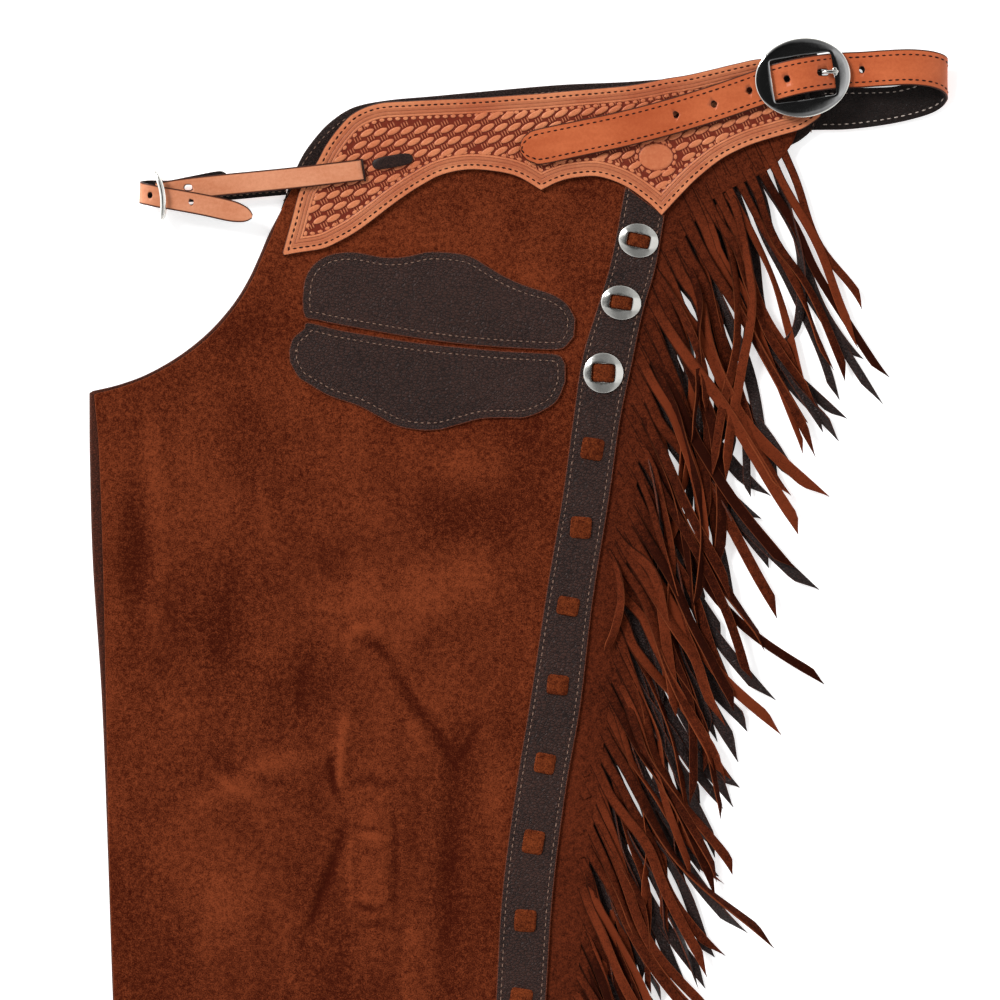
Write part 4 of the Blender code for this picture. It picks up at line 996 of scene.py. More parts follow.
POCKET_UPPER = [(302.3, 299, 302.8, 311), (305, 279, 306, 318), (314, 264, 316, 320),
                (330, 254.5, 332, 323.5), (354, 252, 356, 328), (383, 257, 384, 333),
                (405, 256.5, 405, 336.5), (428, 251.8, 428, 340), (451, 252.5, 451, 343),
                (470, 256, 470, 345), (489, 267, 489, 346.5), (506, 277, 506, 347.8),
                (527, 286, 527, 349), (552, 294, 550, 350), (567, 304, 564, 348),
                (575.5, 318, 574, 337)]
POCKET_LOWER = [(289, 350, 289.5, 362), (293, 338, 298, 377), (303.5, 329, 309, 384.5),
                (308, 322.5, 329, 396), (338, 329.5, 358, 406), (372, 335.5, 377, 416),
                (396, 339.5, 396, 425.7), (417, 342.5, 417, 430), (438, 345, 438, 430),
                (460, 347, 459, 424.7), (481, 349, 481, 419), (502, 350.8, 502, 418),
                (523, 352, 523, 418), (543, 353, 541, 412), (559, 355, 557, 401),
                (565.5, 364, 565.5, 382)]


def pocket_top(x, y, rim):
    swell = 0.5 * ramp(7, 26, rim)
    return POCKET_TOP + swell - 0.3 * np.exp(-((rim - POCKET_INSET) / 1.1) ** 2)


for lobe, node, table in (("pocket_flap_upper", "pocket_upper", POCKET_UPPER),
                          ("pocket_flap_lower", "pocket_lower", POCKET_LOWER)):
    lobe_rows = pace(spline(table, 10), 2.0)
    flap = shell(lobe, lobe_rows, 40, level(TRIM_LOW), pocket_top, TRIM_GRAIN, soften=0.6)
    lay(flap, [node], "grain", lobe_rows, rests_on=["top_leg"])
    sewn(lobe + "_stitches", [raised(inset_line(outline_of(lobe_rows), POCKET_INSET), POCKET_TOP - 0.1)],
         PALE_THREAD, Pitch=0.005, Length=0.0031, Width=0.0009)

# %% [markdown]
# ## Fringe
#
# Fringe is cut, not sewn on: the leg runs past its outseam, and long slits turn the rest into
# strands.  Next to the strip a narrow band stays whole.  Each strand leaves the band at its
# full width, narrows a little, and ends in a slanted point.  Many roll over on the way, and
# some cross others.  So every strand is a path with a width and a roll at each step, and one
# tree sweeps a flat profile along them all.

# %% Strand tree
def strand_tree():
    tree, start = start_tree("cut_strands", {"Thickness": 0.17})
    curve = start.node("GeometryNodeMeshToCurve", inputs={"Mesh": start})
    curve = start.node("GeometryNodeSetCurveNormal", {"mode": "Z_UP"}, {"Curve": curve})
    roll = start.node("GeometryNodeInputNamedAttribute", {"data_type": "FLOAT"}, {"Name": "roll"})
    curve = start.node("GeometryNodeSetCurveTilt", inputs={"Curve": curve, "Tilt": roll})
    half = start.node("GeometryNodeInputNamedAttribute", {"data_type": "FLOAT"}, {"Name": "half"})
    flat = start.node("GeometryNodeCurvePrimitiveQuadrilateral", {"mode": "RECTANGLE"},
                      {"Width": 2.0, "Height": start.other("Thickness") * 2.0})
    flat = start.node("GeometryNodeFilletCurve", {"mode": "POLY"},
                      {"Curve": flat, "Count": 2, "Radius": start.other("Thickness") * 0.6,
                       "Limit Radius": True})
    place = start.node("GeometryNodeInputPosition")
    across = start.node("ShaderNodeSeparateXYZ", inputs={0: place}, out="X") * 0.5 + 0.5
    flat = start.node("GeometryNodeStoreNamedAttribute", {"data_type": "FLOAT", "domain": "POINT"},
                      {"Geometry": flat, "Name": "across", "Value": across})
    ribbon = start.node("GeometryNodeCurveToMesh", inputs={"Curve": curve, "Profile Curve": flat,
                                                           "Scale": half, "Fill Caps": True})
    end_tree(start, ribbon)
    return tree


STRANDS = strand_tree()

# %% [markdown]
# Where a strand ends matters more than how it gets there, because the tips draw the fringe's
# outline.  `HANGS` gives the usual reach and drop down the leg.  `TIPS` then lists the ends
# of strands that stray from it, each with its own sideways bow; every one is given to the
# strand that would have ended nearest to it.  A second, sparser run of strands hangs steeper
# among the first, and a few loose ones lie on top.  Strands that cross take different decks.

# %% Fringe tables
CUT_LINE = [(790, 147), (771, 168), (744, 182), (712, 200), (688, 232), (672, 262), (662, 300), (651, 355),
            (644, 406), (639, 456), (634, 508), (621, 600), (609, 702), (591, 846), (576, 1000),
            (562, 1200), (552, 1350)]
# plan y of the root, reach of the tip to the right and down, and how much neighbours differ
HANGS = [(147, 70, 160, 0.05), (175, 98, 196, 0.12), (215, 104, 212, 0.18), (300, 112, 218, 0.2),
         (400, 112, 208, 0.2), (500, 108, 204, 0.2), (640, 98, 198, 0.2), (760, 98, 198, 0.2),
         (1000, 98, 200, 0.2), (1180, 88, 178, 0.16), (1352, 44, 84, 0.1)]
TIPS = [(863, 309, 8), (890, 378, 10), (849, 380, -6), (833, 371, -10), (804, 425, 6), (821, 503, 8),
        (805, 530, -9), (790, 572, 6), (785, 614, -7), (768, 649, 8), (826, 681, 14), (735, 710, -6),
        (784, 731, 10), (721, 728, -8), (729, 779, 7), (718, 768, -4), (721, 880, 6), (776, 945, 12),
        (719, 897, -8), (733, 874, 9), (724, 958, 8), (711, 975, -6)]
DARK_TIPS = [(840, 439, 8), (791, 488, -8), (813, 595, 8), (771, 704, 7), (721, 855, -6), (680, 931, 6),
             (776, 344, 24), (878, 407, 6), (738, 790, 5)]
# pitch in mm along the cut, heights in mm of the decks and of the root, how much a strand
# narrows, its half width (as a share of its slice, or "wide" in mm), and the share that is steep
TOP_STRANDS = {"seed": 11, "pitch": 11.2, "decks": (5.6, 7.1, 8.6, 10.1, 11.6), "root": 7.32,
               "slim": (0.8, 0.98), "fill": 1.0, "wide": None, "steep": 0.12}
STEEP_STRANDS = {**TOP_STRANDS, "seed": 23, "pitch": 16.0, "slim": (0.88, 1.05),
                 "wide": 3.1, "steep": 1.0}
UNDER_STRANDS = {"seed": 5, "pitch": 9.4, "decks": (1.0, 2.5, 4.0), "root": 4.0,
                 "slim": (0.95, 1.1), "fill": 1.2, "wide": None, "steep": 0.12}
STEEP_DARK = {**UNDER_STRANDS, "seed": 41, "pitch": 13.0, "wide": 3.6, "steep": 1.0}
# where the strands stand apart: plan x and y, half length along them, half width, push, and
# whether the lower ones part there too, so that the floor shows
PARTINGS = [(628, 606, 52, 11, 8, False), (686, 268, 18, 7, 5, True), (692, 304, 26, 8, 6, True),
            (731, 250, 24, 8, 5, True), (606, 770, 30, 8, 4, False), (655, 745, 26, 8, 4, True),
            (668, 420, 26, 8, 5, False), (600, 900, 24, 8, 4, False), (640, 850, 30, 8, 5, False),
            (700, 420, 30, 9, 5, False), (786, 236, 40, 10, 8, True), (640, 470, 24, 7, 4, False),
            (690, 660, 24, 8, 4, True), (590, 1060, 30, 8, 5, False), (610, 1180, 30, 8, 5, False)]
STEPS = np.concatenate([np.linspace(0, 0.9, 21), (0.925, 0.95, 0.968, 0.984, 1.0)])


def strand_paths(line, tips, settings):
    """Rows of places, half widths and rolls for each strand, and a shade."""
    chance = random.Random(settings["seed"])
    hang_table = np.array(HANGS)
    line = pace(spline(line, 8), 1.0)
    run = np.concatenate([[0], np.cumsum(np.hypot(*np.diff(line, axis=0).T))]) * UNIT / MM
    steep = np.abs(np.gradient(line[:, 1])) / np.hypot(np.gradient(line[:, 0]), np.gradient(line[:, 1]))
    marks = [1.0]
    while marks[-1] < run[-1] - 6.0:
        marks.append(marks[-1] + settings["pitch"] * (0.8 + 0.62 * np.interp(marks[-1], run, steep) ** 3))
    roots = []
    for low, high in zip(marks, marks[1:]):
        ends = np.array([[np.interp(mark, run, line[:, axis]) for axis in (0, 1)] for mark in (low, high)])
        root = ends.mean(axis=0)
        reach = np.array([np.interp(root[1], hang_table[:, 0], hang_table[:, column]) for column in (1, 2)])
        spread = np.interp(root[1], hang_table[:, 0], hang_table[:, 3])
        usual = root + reach
        tip = root + reach * (1 + spread * chance.uniform(-1.0, 0.8)) + \
            np.array([reach[1], -reach[0]]) * spread * 0.8 * chance.uniform(-1, 1)
        if chance.random() < settings["steep"]:
            angle = math.radians(chance.uniform(9, 19))
            turn = np.array([[math.cos(angle), -math.sin(angle)], [math.sin(angle), math.cos(angle)]])
            tip = root + turn @ (tip - root) * chance.uniform(0.92, 1.06)
        roots.append([root, ends, usual, tip, chance.uniform(-16, 16)])
    taken = set()
    for x, y, bow in tips:
        free = [index for index in range(len(roots)) if index not in taken]
        best = min(free, key=lambda index: np.hypot(*(roots[index][2] - (x, y))))
        taken.add(best)
        roots[best][3] = np.array([x, y], float)
        roots[best][4] = bow
    strands = []
    t = STEPS[:, None]
    for number, (root, ends, usual, tip, bow) in enumerate(roots):
        reach = usual - root
        heading = reach / np.hypot(*reach)
        side = np.array([-heading[1], heading[0]])
        bend = root + heading * np.hypot(*(tip - root)) * 0.45
        start = root - heading * chance.uniform(6, 46)
        path = (1 - t) ** 2 * start + 2 * t * (1 - t) * bend + t * t * tip
        swing = chance.uniform(-5.5, 5.5) * np.sin(t * chance.uniform(5, 9)) * ramp(0.12, 0.6, t)
        path = path + side * (bow * np.sin(math.pi * t) * ramp(0.05, 0.8, t) + swing)
        for x, y, long, wide, push, floor_shows in PARTINGS:
            if settings is UNDER_STRANDS and not floor_shows:
                continue
            across = (path - (x, y)) @ side
            along = (path - (x, y)) @ heading
            force = push * np.exp(-(along / long) ** 2 - (across / wide / 2) ** 2) * ramp(0.08, 0.25, t[:, 0])
            path = path + side * (np.sign(across[np.abs(along).argmin()]) * force)[:, None]
        edge = ends[1] - ends[0]
        slice_width = abs(edge[0] * heading[1] - edge[1] * heading[0]) * UNIT / MM / 2 * settings["fill"]
        width = settings["wide"] or slice_width
        slim = np.interp(root[1], (150, 190, 270), (0.62, 0.74, 0.98)) * chance.uniform(*settings["slim"])
        narrow = 0.99 - (0.99 - slim) * ramp(0.02, 0.22, t[:, 0])
        length = np.hypot(*(tip - root)) * UNIT / MM
        to_tip = (1 - t[:, 0]) * length
        slant = np.clip(to_tip / (width * chance.uniform(2.2, 4.6)), 0.05, 1.0)
        half = width * narrow * slant
        run_on = np.gradient(path, axis=0)
        run_on /= np.linalg.norm(run_on, axis=1, keepdims=True)
        lean = chance.choice((1, 1, -1))
        path = path + np.column_stack([-run_on[:, 1], run_on[:, 0]]) * (width * narrow - half)[:, None] \
            * lean * MM / UNIT
        turn = chance.choice((0.12, 0.2, 0.35, 0.6, 0.9, 1.2)) * chance.choice((-1, 1))
        roll = turn * np.sin(math.pi * ramp(0.15, 1.0, t[:, 0]) * chance.uniform(0.8, 1.9))
        strands.append((path, half, roll, chance.random()))
    return strands


def deck_heights(strands, settings):
    """Each strand takes the lowest deck where no other strand crosses it."""
    decks = [[] for deck in settings["decks"]]
    chosen = []
    for path, half, roll, shade in strands:
        clash = []
        for others in decks:
            worst = 0
            for other_path, other_half in others[-9:]:
                gap = np.hypot(*(path[4:, None, :] - other_path[None, 4:, :]).transpose(2, 0, 1))
                room = (half[4:, None] + other_half[None, 4:]) * MM / UNIT * 0.8
                worst += int((gap < room).sum())
            clash.append(worst)
        deck = clash.index(min(clash))
        decks[deck].append((path, half))
        chosen.append(deck)
    return chosen


def fringe(name, line, tips, settings, finish, loose=(), laid_over=()):
    strands = sorted(strand_paths(line, tips, settings) + list(laid_over), key=lambda strand: strand[0][0][1])
    decks = deck_heights(strands, settings) + [len(settings["decks"]) - 1] * len(loose)
    strands += list(loose)
    places, edges, halves, rolls, shades, roots = [], [], [], [], [], []
    for (path, half, roll, shade), deck in zip(strands, decks):
        base = len(places)
        share = STEPS if len(path) == len(STEPS) else np.linspace(0, 1, len(path))
        height = settings["root"] - 0.9 * ramp(0.05, 0.0, share) + \
            (settings["decks"][deck] - settings["root"]) * ramp(0.12, 0.36, share)
        height = height + 0.35 * np.sin(share * 9 + shade * 6) * share
        height = np.maximum(height, 0.35 + np.abs(np.sin(roll)) * half + 0.17 * half)
        for (x, y), z in zip(path, height):
            places.append((*plan(x, y), z * MM))
        edges += [(base + step, base + step + 1) for step in range(len(path) - 1)]
        halves += list(half * MM)
        rolls += list(roll)
        shades += list(0.5 + (shade - 0.5) * ramp(0.05, 0.3, share))
        # near_root: how strong the painted slit shadow is, fading out from the root
        roots += list(0.9 * ramp(0.6, 0.15, share))
    holder = point_set(name, places, edges, {"half": halves, "roll": rolls, "shade": shades,
                                             "near_root": roots})
    piece = grow(name, holder, STRANDS, finish)
    print(f"  {len(strands)} strands")
    return piece


def loose_strand(line, width, roll, shade):
    """A strand that leaves the lie of the others, from its own few points."""
    path = pace(spline(line, 8), spline_pitch(line))
    t = np.linspace(0, 1, len(path))
    half = np.full(len(path), width / 2) * np.clip((1 - t) * 14, 0.06, 1.0)
    return path, half, roll * np.sin(math.pi * t * 1.4), shade


def spline_pitch(line):
    return float(np.hypot(*np.diff(np.array(line, float), axis=0).T).sum()) * UNIT / MM / 26


# %% Top and lower fringe
top_line = list(CUT_LINE)
lower_line = [(x - 5, y) for x, y in CUT_LINE[1:]]
long_ones = [
    loose_strand([(726, 192), (738, 215), (752, 300), (741, 372), (729, 440), (726, 480)], 7.4, 0.5, 0.7),
    loose_strand([(715, 205), (733, 262), (737, 340), (722, 410), (712, 476)], 7.0, -0.8, 0.5),
    loose_strand([(608, 524), (624, 546), (648, 566), (659, 592), (667, 648), (676, 716)], 8.4, 0.4, 0.7),
    loose_strand([(604, 546), (617, 570), (621, 600), (614, 632), (604, 652)], 6.4, 0.7, 0.6),
    loose_strand([(640, 250), (668, 290), (690, 330), (704, 372), (706, 412)], 6.6, 0.7, 0.4)]
curl = [loose_strand([(776, 168), (790, 215), (801, 262), (799, 318), (788, 340), (775, 344)], 7.2, 0.9, 0.6)]
seam_line = [row[2:] for row in leg_rows if 100 < row[3] < CUT_LINE[-1][1]]


def band(name, seam_points, cut_points, low, high, finish):
    """The uncut leather between the outseam and the slits."""
    seam_run = pace(np.array(seam_points), 4.0)
    cut_run = pace(spline(cut_points, 8), 4.0)
    marks = np.linspace(0, 1, 260)
    rows = np.column_stack([
        np.interp(marks, np.linspace(0, 1, len(run)), run[:, axis]) for run in (seam_run, cut_run)
        for axis in (0, 1)])
    piece = shell(name, rows, 12, level(low), level(high), finish, soften=0.3)
    own_values(piece, "across", np.full(len(piece.data.vertices), 0.5))
    own_values(piece, "shade", np.full(len(piece.data.vertices), 0.5))
    return piece, rows


steep_ones = strand_paths(top_line[3:], [], STEEP_STRANDS)
steep_dark = strand_paths(lower_line[2:], [], STEEP_DARK)
top_fringe = fringe("suede_fringe", top_line, TIPS, TOP_STRANDS, SHADED_FRINGE_SUEDE, long_ones, steep_ones)
band_line = [(799, 112), (797, 130)] + top_line
top_band, band_rows = band("fringe_band", seam_line, band_line, PANEL_LOW, PANEL_TOP, SHADED_FRINGE_SUEDE)
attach(top_fringe, "root")
lay(top_band, ["fringe"], "suede", band_rows, rests_on=["under_leg"])
under_fringe = fringe("dark_fringe", lower_line, DARK_TIPS, UNDER_STRANDS, FRINGE_GRAIN, curl, steep_dark)
under_band, under_band_rows = band("under_band", seam_line, lower_line, 0.4, PANEL_LOW - 0.6, FRINGE_GRAIN)
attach(under_fringe, "root")
lay(under_band, ["under_fringe"], "reverse", under_band_rows)

# %% [markdown]
# ## Straps
#
# The belt and the front ties are tan leather lined with dark leather.  A strap follows a row
# of stops: where its middle is, how high, which way its width points, and how wide it is.
# The wall is swept as a ring of eighteen points, rounded at the cut edges.

# %% Strap builder
BELT_FACE, BELT_LINING = 1.7, 1.2
TIE_FACE, TIE_LINING = 1.3, 1.0
BELT_LOW = YOKE_TOP + GAP + BELT_LINING + GAP
TIE_LOW = YOKE_TOP + GAP + TIE_LINING + GAP


def strap_frames(stops):
    """For each stop: its centre, the direction across and the face's normal, and half its width."""
    centres = [Vector((*plan(stop[0], stop[1]), stop[2] * MM)) for stop in stops]
    frames = []
    for index, stop in enumerate(stops):
        tangent = (centres[min(index + 1, len(stops) - 1)] - centres[max(index - 1, 0)]).normalized()
        turn = math.radians(stop[3])
        across = Vector((-math.sin(turn), math.cos(turn), 0.0))
        normal = tangent.cross(across).normalized()
        frames.append((centres[index], across, normal, stop[4] / 2))
    return frames


STRAP_RING = [(-1, 0.5), (-1, 0.82), (-0.985, 0.96), (-0.95, 1.0), (-0.5, 1.0), (0, 1.0), (0.5, 1.0),
              (0.95, 1.0), (0.985, 0.96), (1, 0.82), (1, 0.5), (1, 0.18), (0.985, 0.04), (0.95, 0.0),
              (0, 0.0), (-0.95, 0.0), (-0.985, 0.04), (-1, 0.18)]


def strap(name, stops, low, high, finish):
    points, rim = [], []
    for centre, across, normal, half in strap_frames(stops):
        for side, up in STRAP_RING:
            points.append(centre + across * side * half * MM + normal * (low + (high - low) * up) * MM)
            rim.append((1 - abs(side)) * half if up > 0.5 or up < 0.05 else 0.0)
    piece = new_piece(name, points, ring_faces(len(stops), len(STRAP_RING)), [finish, BURNISHED])
    own_values(piece, "rim_mm", rim)
    return piece


def strap_lines(stops, inset, height):
    """Two lines along a strap, a little inside its edges, at a height above its underside."""
    lines = [[], []]
    for centre, across, normal, half in strap_frames(stops):
        for line, side in zip(lines, (-1, 1)):
            line.append(centre + across * side * max(half - inset, 0.4) * MM + normal * height * MM)
    return lines


def punch(piece, holes, radius, low=0.1, high=40.0):
    """Cut round holes at plan x, plan y and length in mm, and burnish their walls."""
    points, faces = [], []
    sides = 20
    for x, y, length in holes:
        centre = plan(x, y)
        stretch = max(length / 2 - radius, 0.0)
        base = len(points)
        for height in (low, high):
            for corner in range(sides):
                angle = 2 * math.pi * (corner + 0.5) / sides
                shift = math.copysign(stretch, math.cos(angle))
                points.append((centre.x + (radius * math.cos(angle) + shift) * MM,
                               centre.y + radius * math.sin(angle) * MM, height * MM))
        faces += [(base + i, base + (i + 1) % sides, base + sides + (i + 1) % sides, base + sides + i)
                  for i in range(sides)]
        faces += [tuple(range(base, base + sides)), tuple(range(base + sides, base + 2 * sides))]
    cutter = new_piece(piece.name + "_punch", points, faces, [BURNISHED])
    modifier = piece.modifiers.new("punch", "BOOLEAN")
    modifier.operation, modifier.solver, modifier.object = "DIFFERENCE", "EXACT", cutter
    modifier.material_mode = "TRANSFER"
    graph = bpy.context.evaluated_depsgraph_get()
    mesh = bpy.data.meshes.new_from_object(piece.evaluated_get(graph), depsgraph=graph)
    piece.modifiers.clear()
    piece.data = mesh
    bpy.data.objects.remove(cutter, do_unlink=True)
    print(f"{piece.name}: {len(holes)} holes")


# %% [markdown]
# ### The belt
#
# The belt's free end lies over the yoke, tip to the left, passes through the buckle, and
# turns back on itself at the right, where its dark lining comes into view.

# %% Belt
BELT = [(520.5, 150.5, BELT_LOW, 12, 5), (524.5, 149.5, BELT_LOW, 12, 17),
        (531, 148.5, BELT_LOW, 12, 24), (540, 147, BELT_LOW, 12, 28), (580, 138.5, BELT_LOW, 12, 28),
        (620, 130, BELT_LOW, 13, 28), (665, 118.5, BELT_LOW, 15, 28), (713, 104, BELT_LOW, 18, 28),
        (748, 92, BELT_LOW, 18, 28), (771, 84, BELT_LOW + 1.9, 17, 28),
        (787, 79.5, BELT_LOW + 5.6, 14, 28), (803, 76, BELT_LOW + 7.4, 11, 28),
        (818, 73.5, BELT_LOW + 6.4, 9, 28), (833, 71.5, BELT_LOW + 1.9, 7, 28),
        (846, 70.6, BELT_LOW + 0.9, 4, 28), (862, 70, BELT_LOW + 1.2, 2, 28),
        (885, 68.5, BELT_LOW + 3.4, 1, 28), (908, 67.6, BELT_LOW + 4.2, -2, 28),
        (926, 68.8, BELT_LOW + 3.4, -5, 28), (938, 71.5, BELT_LOW + 1.0, -6, 28),
        (944.5, 75.5, BELT_LOW - 3.2, -4, 28), (945, 82, BELT_LOW - 8.2, 4, 28),
        (938.5, 89.5, BELT_LOW - 10.6, 10, 28), (925, 96.5, BELT_LOW - 11.1, 13, 28),
        (900, 103.5, BELT_LOW - 11.0, 12, 28), (872, 106.8, BELT_LOW - 10.8, 8, 30.5),
        (845, 108.4, BELT_LOW - 10.5, 3, 32.5), (825, 108.8, BELT_LOW - 10.4, 1, 32.5),
        (798, 109.2, BELT_LOW - 10.4, 0, 32.5)]
BELT_HOLES = [(676, 115, 0), (713.8, 104.5, 0), (749.3, 91, 0), (786.5, 79.5, 0), (822.5, 73.0, 9.2),
              (861.8, 70.2, 0)]


def tip_stops(table, steps):
    return [tuple(row) for row in spline(table, steps)]


belt_stops = tip_stops(BELT, 6)
belt = strap("belt_face", belt_stops, 0.0, BELT_FACE, BELT_TAN)
belt_back = strap("belt_back", belt_stops, -GAP - BELT_LINING, -GAP, LINING)
punch(belt, BELT_HOLES, 2.3)
punch(belt_back, BELT_HOLES[:-1] + [(859.4, 72.4, 0)], 2.3)


def strap_area(stops):
    centres = [frame_row[0] for frame_row in strap_frames(stops)]
    length = sum((far - near).length for near, far in zip(centres, centres[1:]))
    width = max(stop[4] for stop in stops) * MM
    mean = sum(stop[4] for stop in stops) / len(stops) * MM
    return {"flat": (width, length), "area": min(mean, width) * length * 0.98}


lay(belt, ["belt"], "tan", rests_on=["tan_yoke"], **strap_area(belt_stops))
lay(belt_back, ["belt_lining"], "reverse", rests_on=["tan_yoke"], **strap_area(belt_stops))
face_lines = strap_lines(belt_stops[3:], 4.2, BELT_FACE - 0.05)
back_lines = strap_lines(belt_stops[-44:-6], 4.2, -GAP - BELT_LINING + 0.05)
sewn("belt_stitches", face_lines, DARK_THREAD, Pitch=0.0052, Length=0.0036, Width=0.0014)
sewn("lining_stitches", back_lines, LINEN_THREAD, Pitch=0.0054, Length=0.0034, Width=0.0010)

# %% [markdown]
# ### The front ties
#
# One tie comes up through the yoke's slit and holds the small buckle in a fold; the other
# leg's billet rises from the floor, turns over and runs back through it.

# %% Ties
TIE_WIDTH = 16.8
FRONT_TIE = [(229.5, 180.3, 10.4, 8, 5), (226, 180.9, 10.4, 8, 13), (219, 182, 10.4, 8, TIE_WIDTH),
             (195, 186.5, 10.5, 7, TIE_WIDTH), (175, 190.5, 10.6, 6, TIE_WIDTH),
             (162, 193, 10.7, 8, TIE_WIDTH), (159.4, 193, 11.5, 8, TIE_WIDTH),
             (158.4, 193, 13.4, 8, TIE_WIDTH), (159.4, 193, 15.3, 8, TIE_WIDTH),
             (162, 193, 16.1, 8, TIE_WIDTH), (172, 191.3, 15.8, 6, TIE_WIDTH),
             (190, 188.8, TIE_LOW + 2.0, 7, TIE_WIDTH), (220, 185.5, TIE_LOW + 1.4, 7, TIE_WIDTH),
             (260, 181.6, TIE_LOW + 0.8, 7, TIE_WIDTH), (300, 177.5, TIE_LOW + 0.4, 7, TIE_WIDTH),
             (350, 171.6, TIE_LOW + 0.1, 9, TIE_WIDTH), (359.0, 170.4, TIE_LOW, 10, TIE_WIDTH),
             (362.0, 169.9, TIE_LOW - 1.4, 10, TIE_WIDTH), (362.4, 169.8, TIE_LOW - 3.6, 10, TIE_WIDTH)]
FRONT_BILLET = [(285, 184, 3.2, 8, TIE_WIDTH), (262, 186, 3.4, 8, TIE_WIDTH),
                (230, 189, 4.2, 6, TIE_WIDTH), (195, 191, 5.8, 4, TIE_WIDTH),
                (168, 191.5, 6.6, 2, TIE_WIDTH), (152, 191, 7.0, 2, TIE_WIDTH),
                (144.5, 191.5, 8.6, 0, TIE_WIDTH), (141.5, 192.5, 12.4, -2, TIE_WIDTH),
                (144.5, 194, 16.6, -4, TIE_WIDTH), (151, 195.5, 18.6, -6, TIE_WIDTH),
                (160, 197.5, 19.2, -9, TIE_WIDTH), (178, 200.5, 19.0, -10, TIE_WIDTH),
                (205, 205.5, 17.6, -11, TIE_WIDTH), (230, 211, 16.6, -13, TIE_WIDTH),
                (243, 214.2, 16.2, -14, 13.5), (249, 215.8, 16.1, -14, 9.0), (252.5, 216.8, 16.0, -14, 3.5)]
for name, table, rests in (("front_tie", FRONT_TIE, ["tan_yoke"]), ("front_billet", FRONT_BILLET, [])):
    stops = tip_stops(table, 5)
    face = strap(name + "_face", stops, 0.0, TIE_FACE, TIE_TAN)
    back = strap(name + "_back", stops, -GAP - TIE_LINING, -GAP, LINING)
    if name == "front_billet":
        for piece in (face, back):
            punch(piece, [(150.6, 195.7, 0), (191.5, 202.5, 0)], 1.9, low=12.0)
            punch(piece, [(188.5, 187.5, 6.4)], 2.2, high=11.0)
    else:
        for piece in (face, back):
            punch(piece, [(188.5, 187.5, 6.4)], 2.2)
    lay(face, [name], "tan", rests_on=rests, **strap_area(stops))
    lay(back, [name + "_lining"], "reverse", rests_on=rests, **strap_area(stops))
    if name == "front_billet":
        billet_back = strap_lines(stops[:16], 3.0, -GAP - TIE_LINING + 0.05)
        sewn("billet_stitches", billet_back, PALE_THREAD, Pitch=0.005, Length=0.003, Width=0.0008)

# %% [markdown]
# ## Laces
#
# Suede lace runs in and out of the strip.  Where it comes up it shows as a soft square, and
# it also holds each concho through its slot.  A dark thong does the same on the yoke.  All
# are small pads with rounded corners, pinched down where they dive through the leather.

# %% Lace pads
def rounded(angle, half_x, half_y, power):
    x, y = math.cos(angle), math.sin(angle)
    reach = (abs(x / half_x) ** power + abs(y / half_y) ** power) ** (-1 / power)
    return x * reach, y * reach


def turned(point, degrees):
    angle = math.radians(degrees)
    return Vector((point[0] * math.cos(angle) - point[1] * math.sin(angle),
                   point[0] * math.sin(angle) + point[1] * math.cos(angle)))


# a pad from its edge inwards: share of its size, and share of its rise
PAD_SECTION = [(1.0, 0.0), (1.0, 0.45), (0.97, 0.72), (0.90, 0.9), (0.75, 1.0), (0.45, 1.0), (0.12, 1.0)]


def pad(name, centre, size, turn, base, rise, finish, pinch=0.35, power=7.0):
    """A pad of size mm at a height, pinched at its two long ends."""
    sides, points = 40, []
    for share, level_share in PAD_SECTION:
        for step in range(sides):
            place = rounded(2 * math.pi * (step + 0.5) / sides, size[0] / 2, size[1] / 2, power)
            ends = abs(place[1] if size[1] >= size[0] else place[0]) * share / (max(size) / 2)
            height = rise * level_share * (1 - pinch * ends ** 4)
            spot = centre + turned((place[0] * share, place[1] * share), turn) * MM
            points.append((spot.x, spot.y, (base + height) * MM))
    return new_piece(name, points, ring_faces(len(PAD_SECTION), sides), finish)


FIRST_TAB, TAB_SPACING, TAB_COUNT = 449.0, 78.6, 13
TAB_SIZES = [(17.4, 17.2), (16.6, 17.0), (17.2, 14.6), (16.8, 15.6), (16.0, 15.8), (16.4, 18.6), (17.0, 17.4)]
chance = random.Random(8)
strip_centre = pace(spline(SIDE_STRIP, 16), 2.0)
for number in range(TAB_COUNT):
    y = FIRST_TAB + TAB_SPACING * number
    left = np.interp(y, strip_centre[:, 1], strip_centre[:, 0])
    right = np.interp(y, strip_centre[:, 3], strip_centre[:, 2])
    x = (left + right) / 2
    size = TAB_SIZES[number % len(TAB_SIZES)]
    turn = -8 + chance.uniform(-3, 4)
    tab = pad(f"laced_tab_{number + 1:02d}", plan(x, y), size, turn, STRIP_TOP, 1.7, LACE_SUEDE, pinch=0.6)
    lay(tab, [f"lace_tab_{number + 1:02d}"], "suede")
print(TAB_COUNT, "lace tabs")

# %% [markdown]
# ## Hardware
#
# Conchos are spun discs, so they are made as rings of points from the rim in to the slot:
# a thin rim, a domed face, and a lip turned down into the slot.  The big buckle is the same
# ring with an oval outside and a square opening.

# %% Rings of metal
def metal_ring(name, centre, turn, outer, inner, profile, sides, finish):
    """Profile rows: share of the way from the outer to the inner outline, and height in mm."""
    points = []
    for share, height in profile:
        for step in range(sides):
            angle = 2 * math.pi * step / sides
            out, inn = Vector(outer(angle)), Vector(inner(angle))
            spot = centre + turned(out.lerp(inn, share), turn) * MM
            points.append((spot.x, spot.y, height * MM))
    count = len(profile)
    faces = [(row * sides + step, row * sides + (step + 1) % sides,
              (row + 1) % count * sides + (step + 1) % sides, (row + 1) % count * sides + step)
             for row in range(count) for step in range(sides)]
    piece = new_piece(name, points, faces, finish)
    own_values(piece, "inward", np.repeat([share for share, height in profile], sides))
    return piece


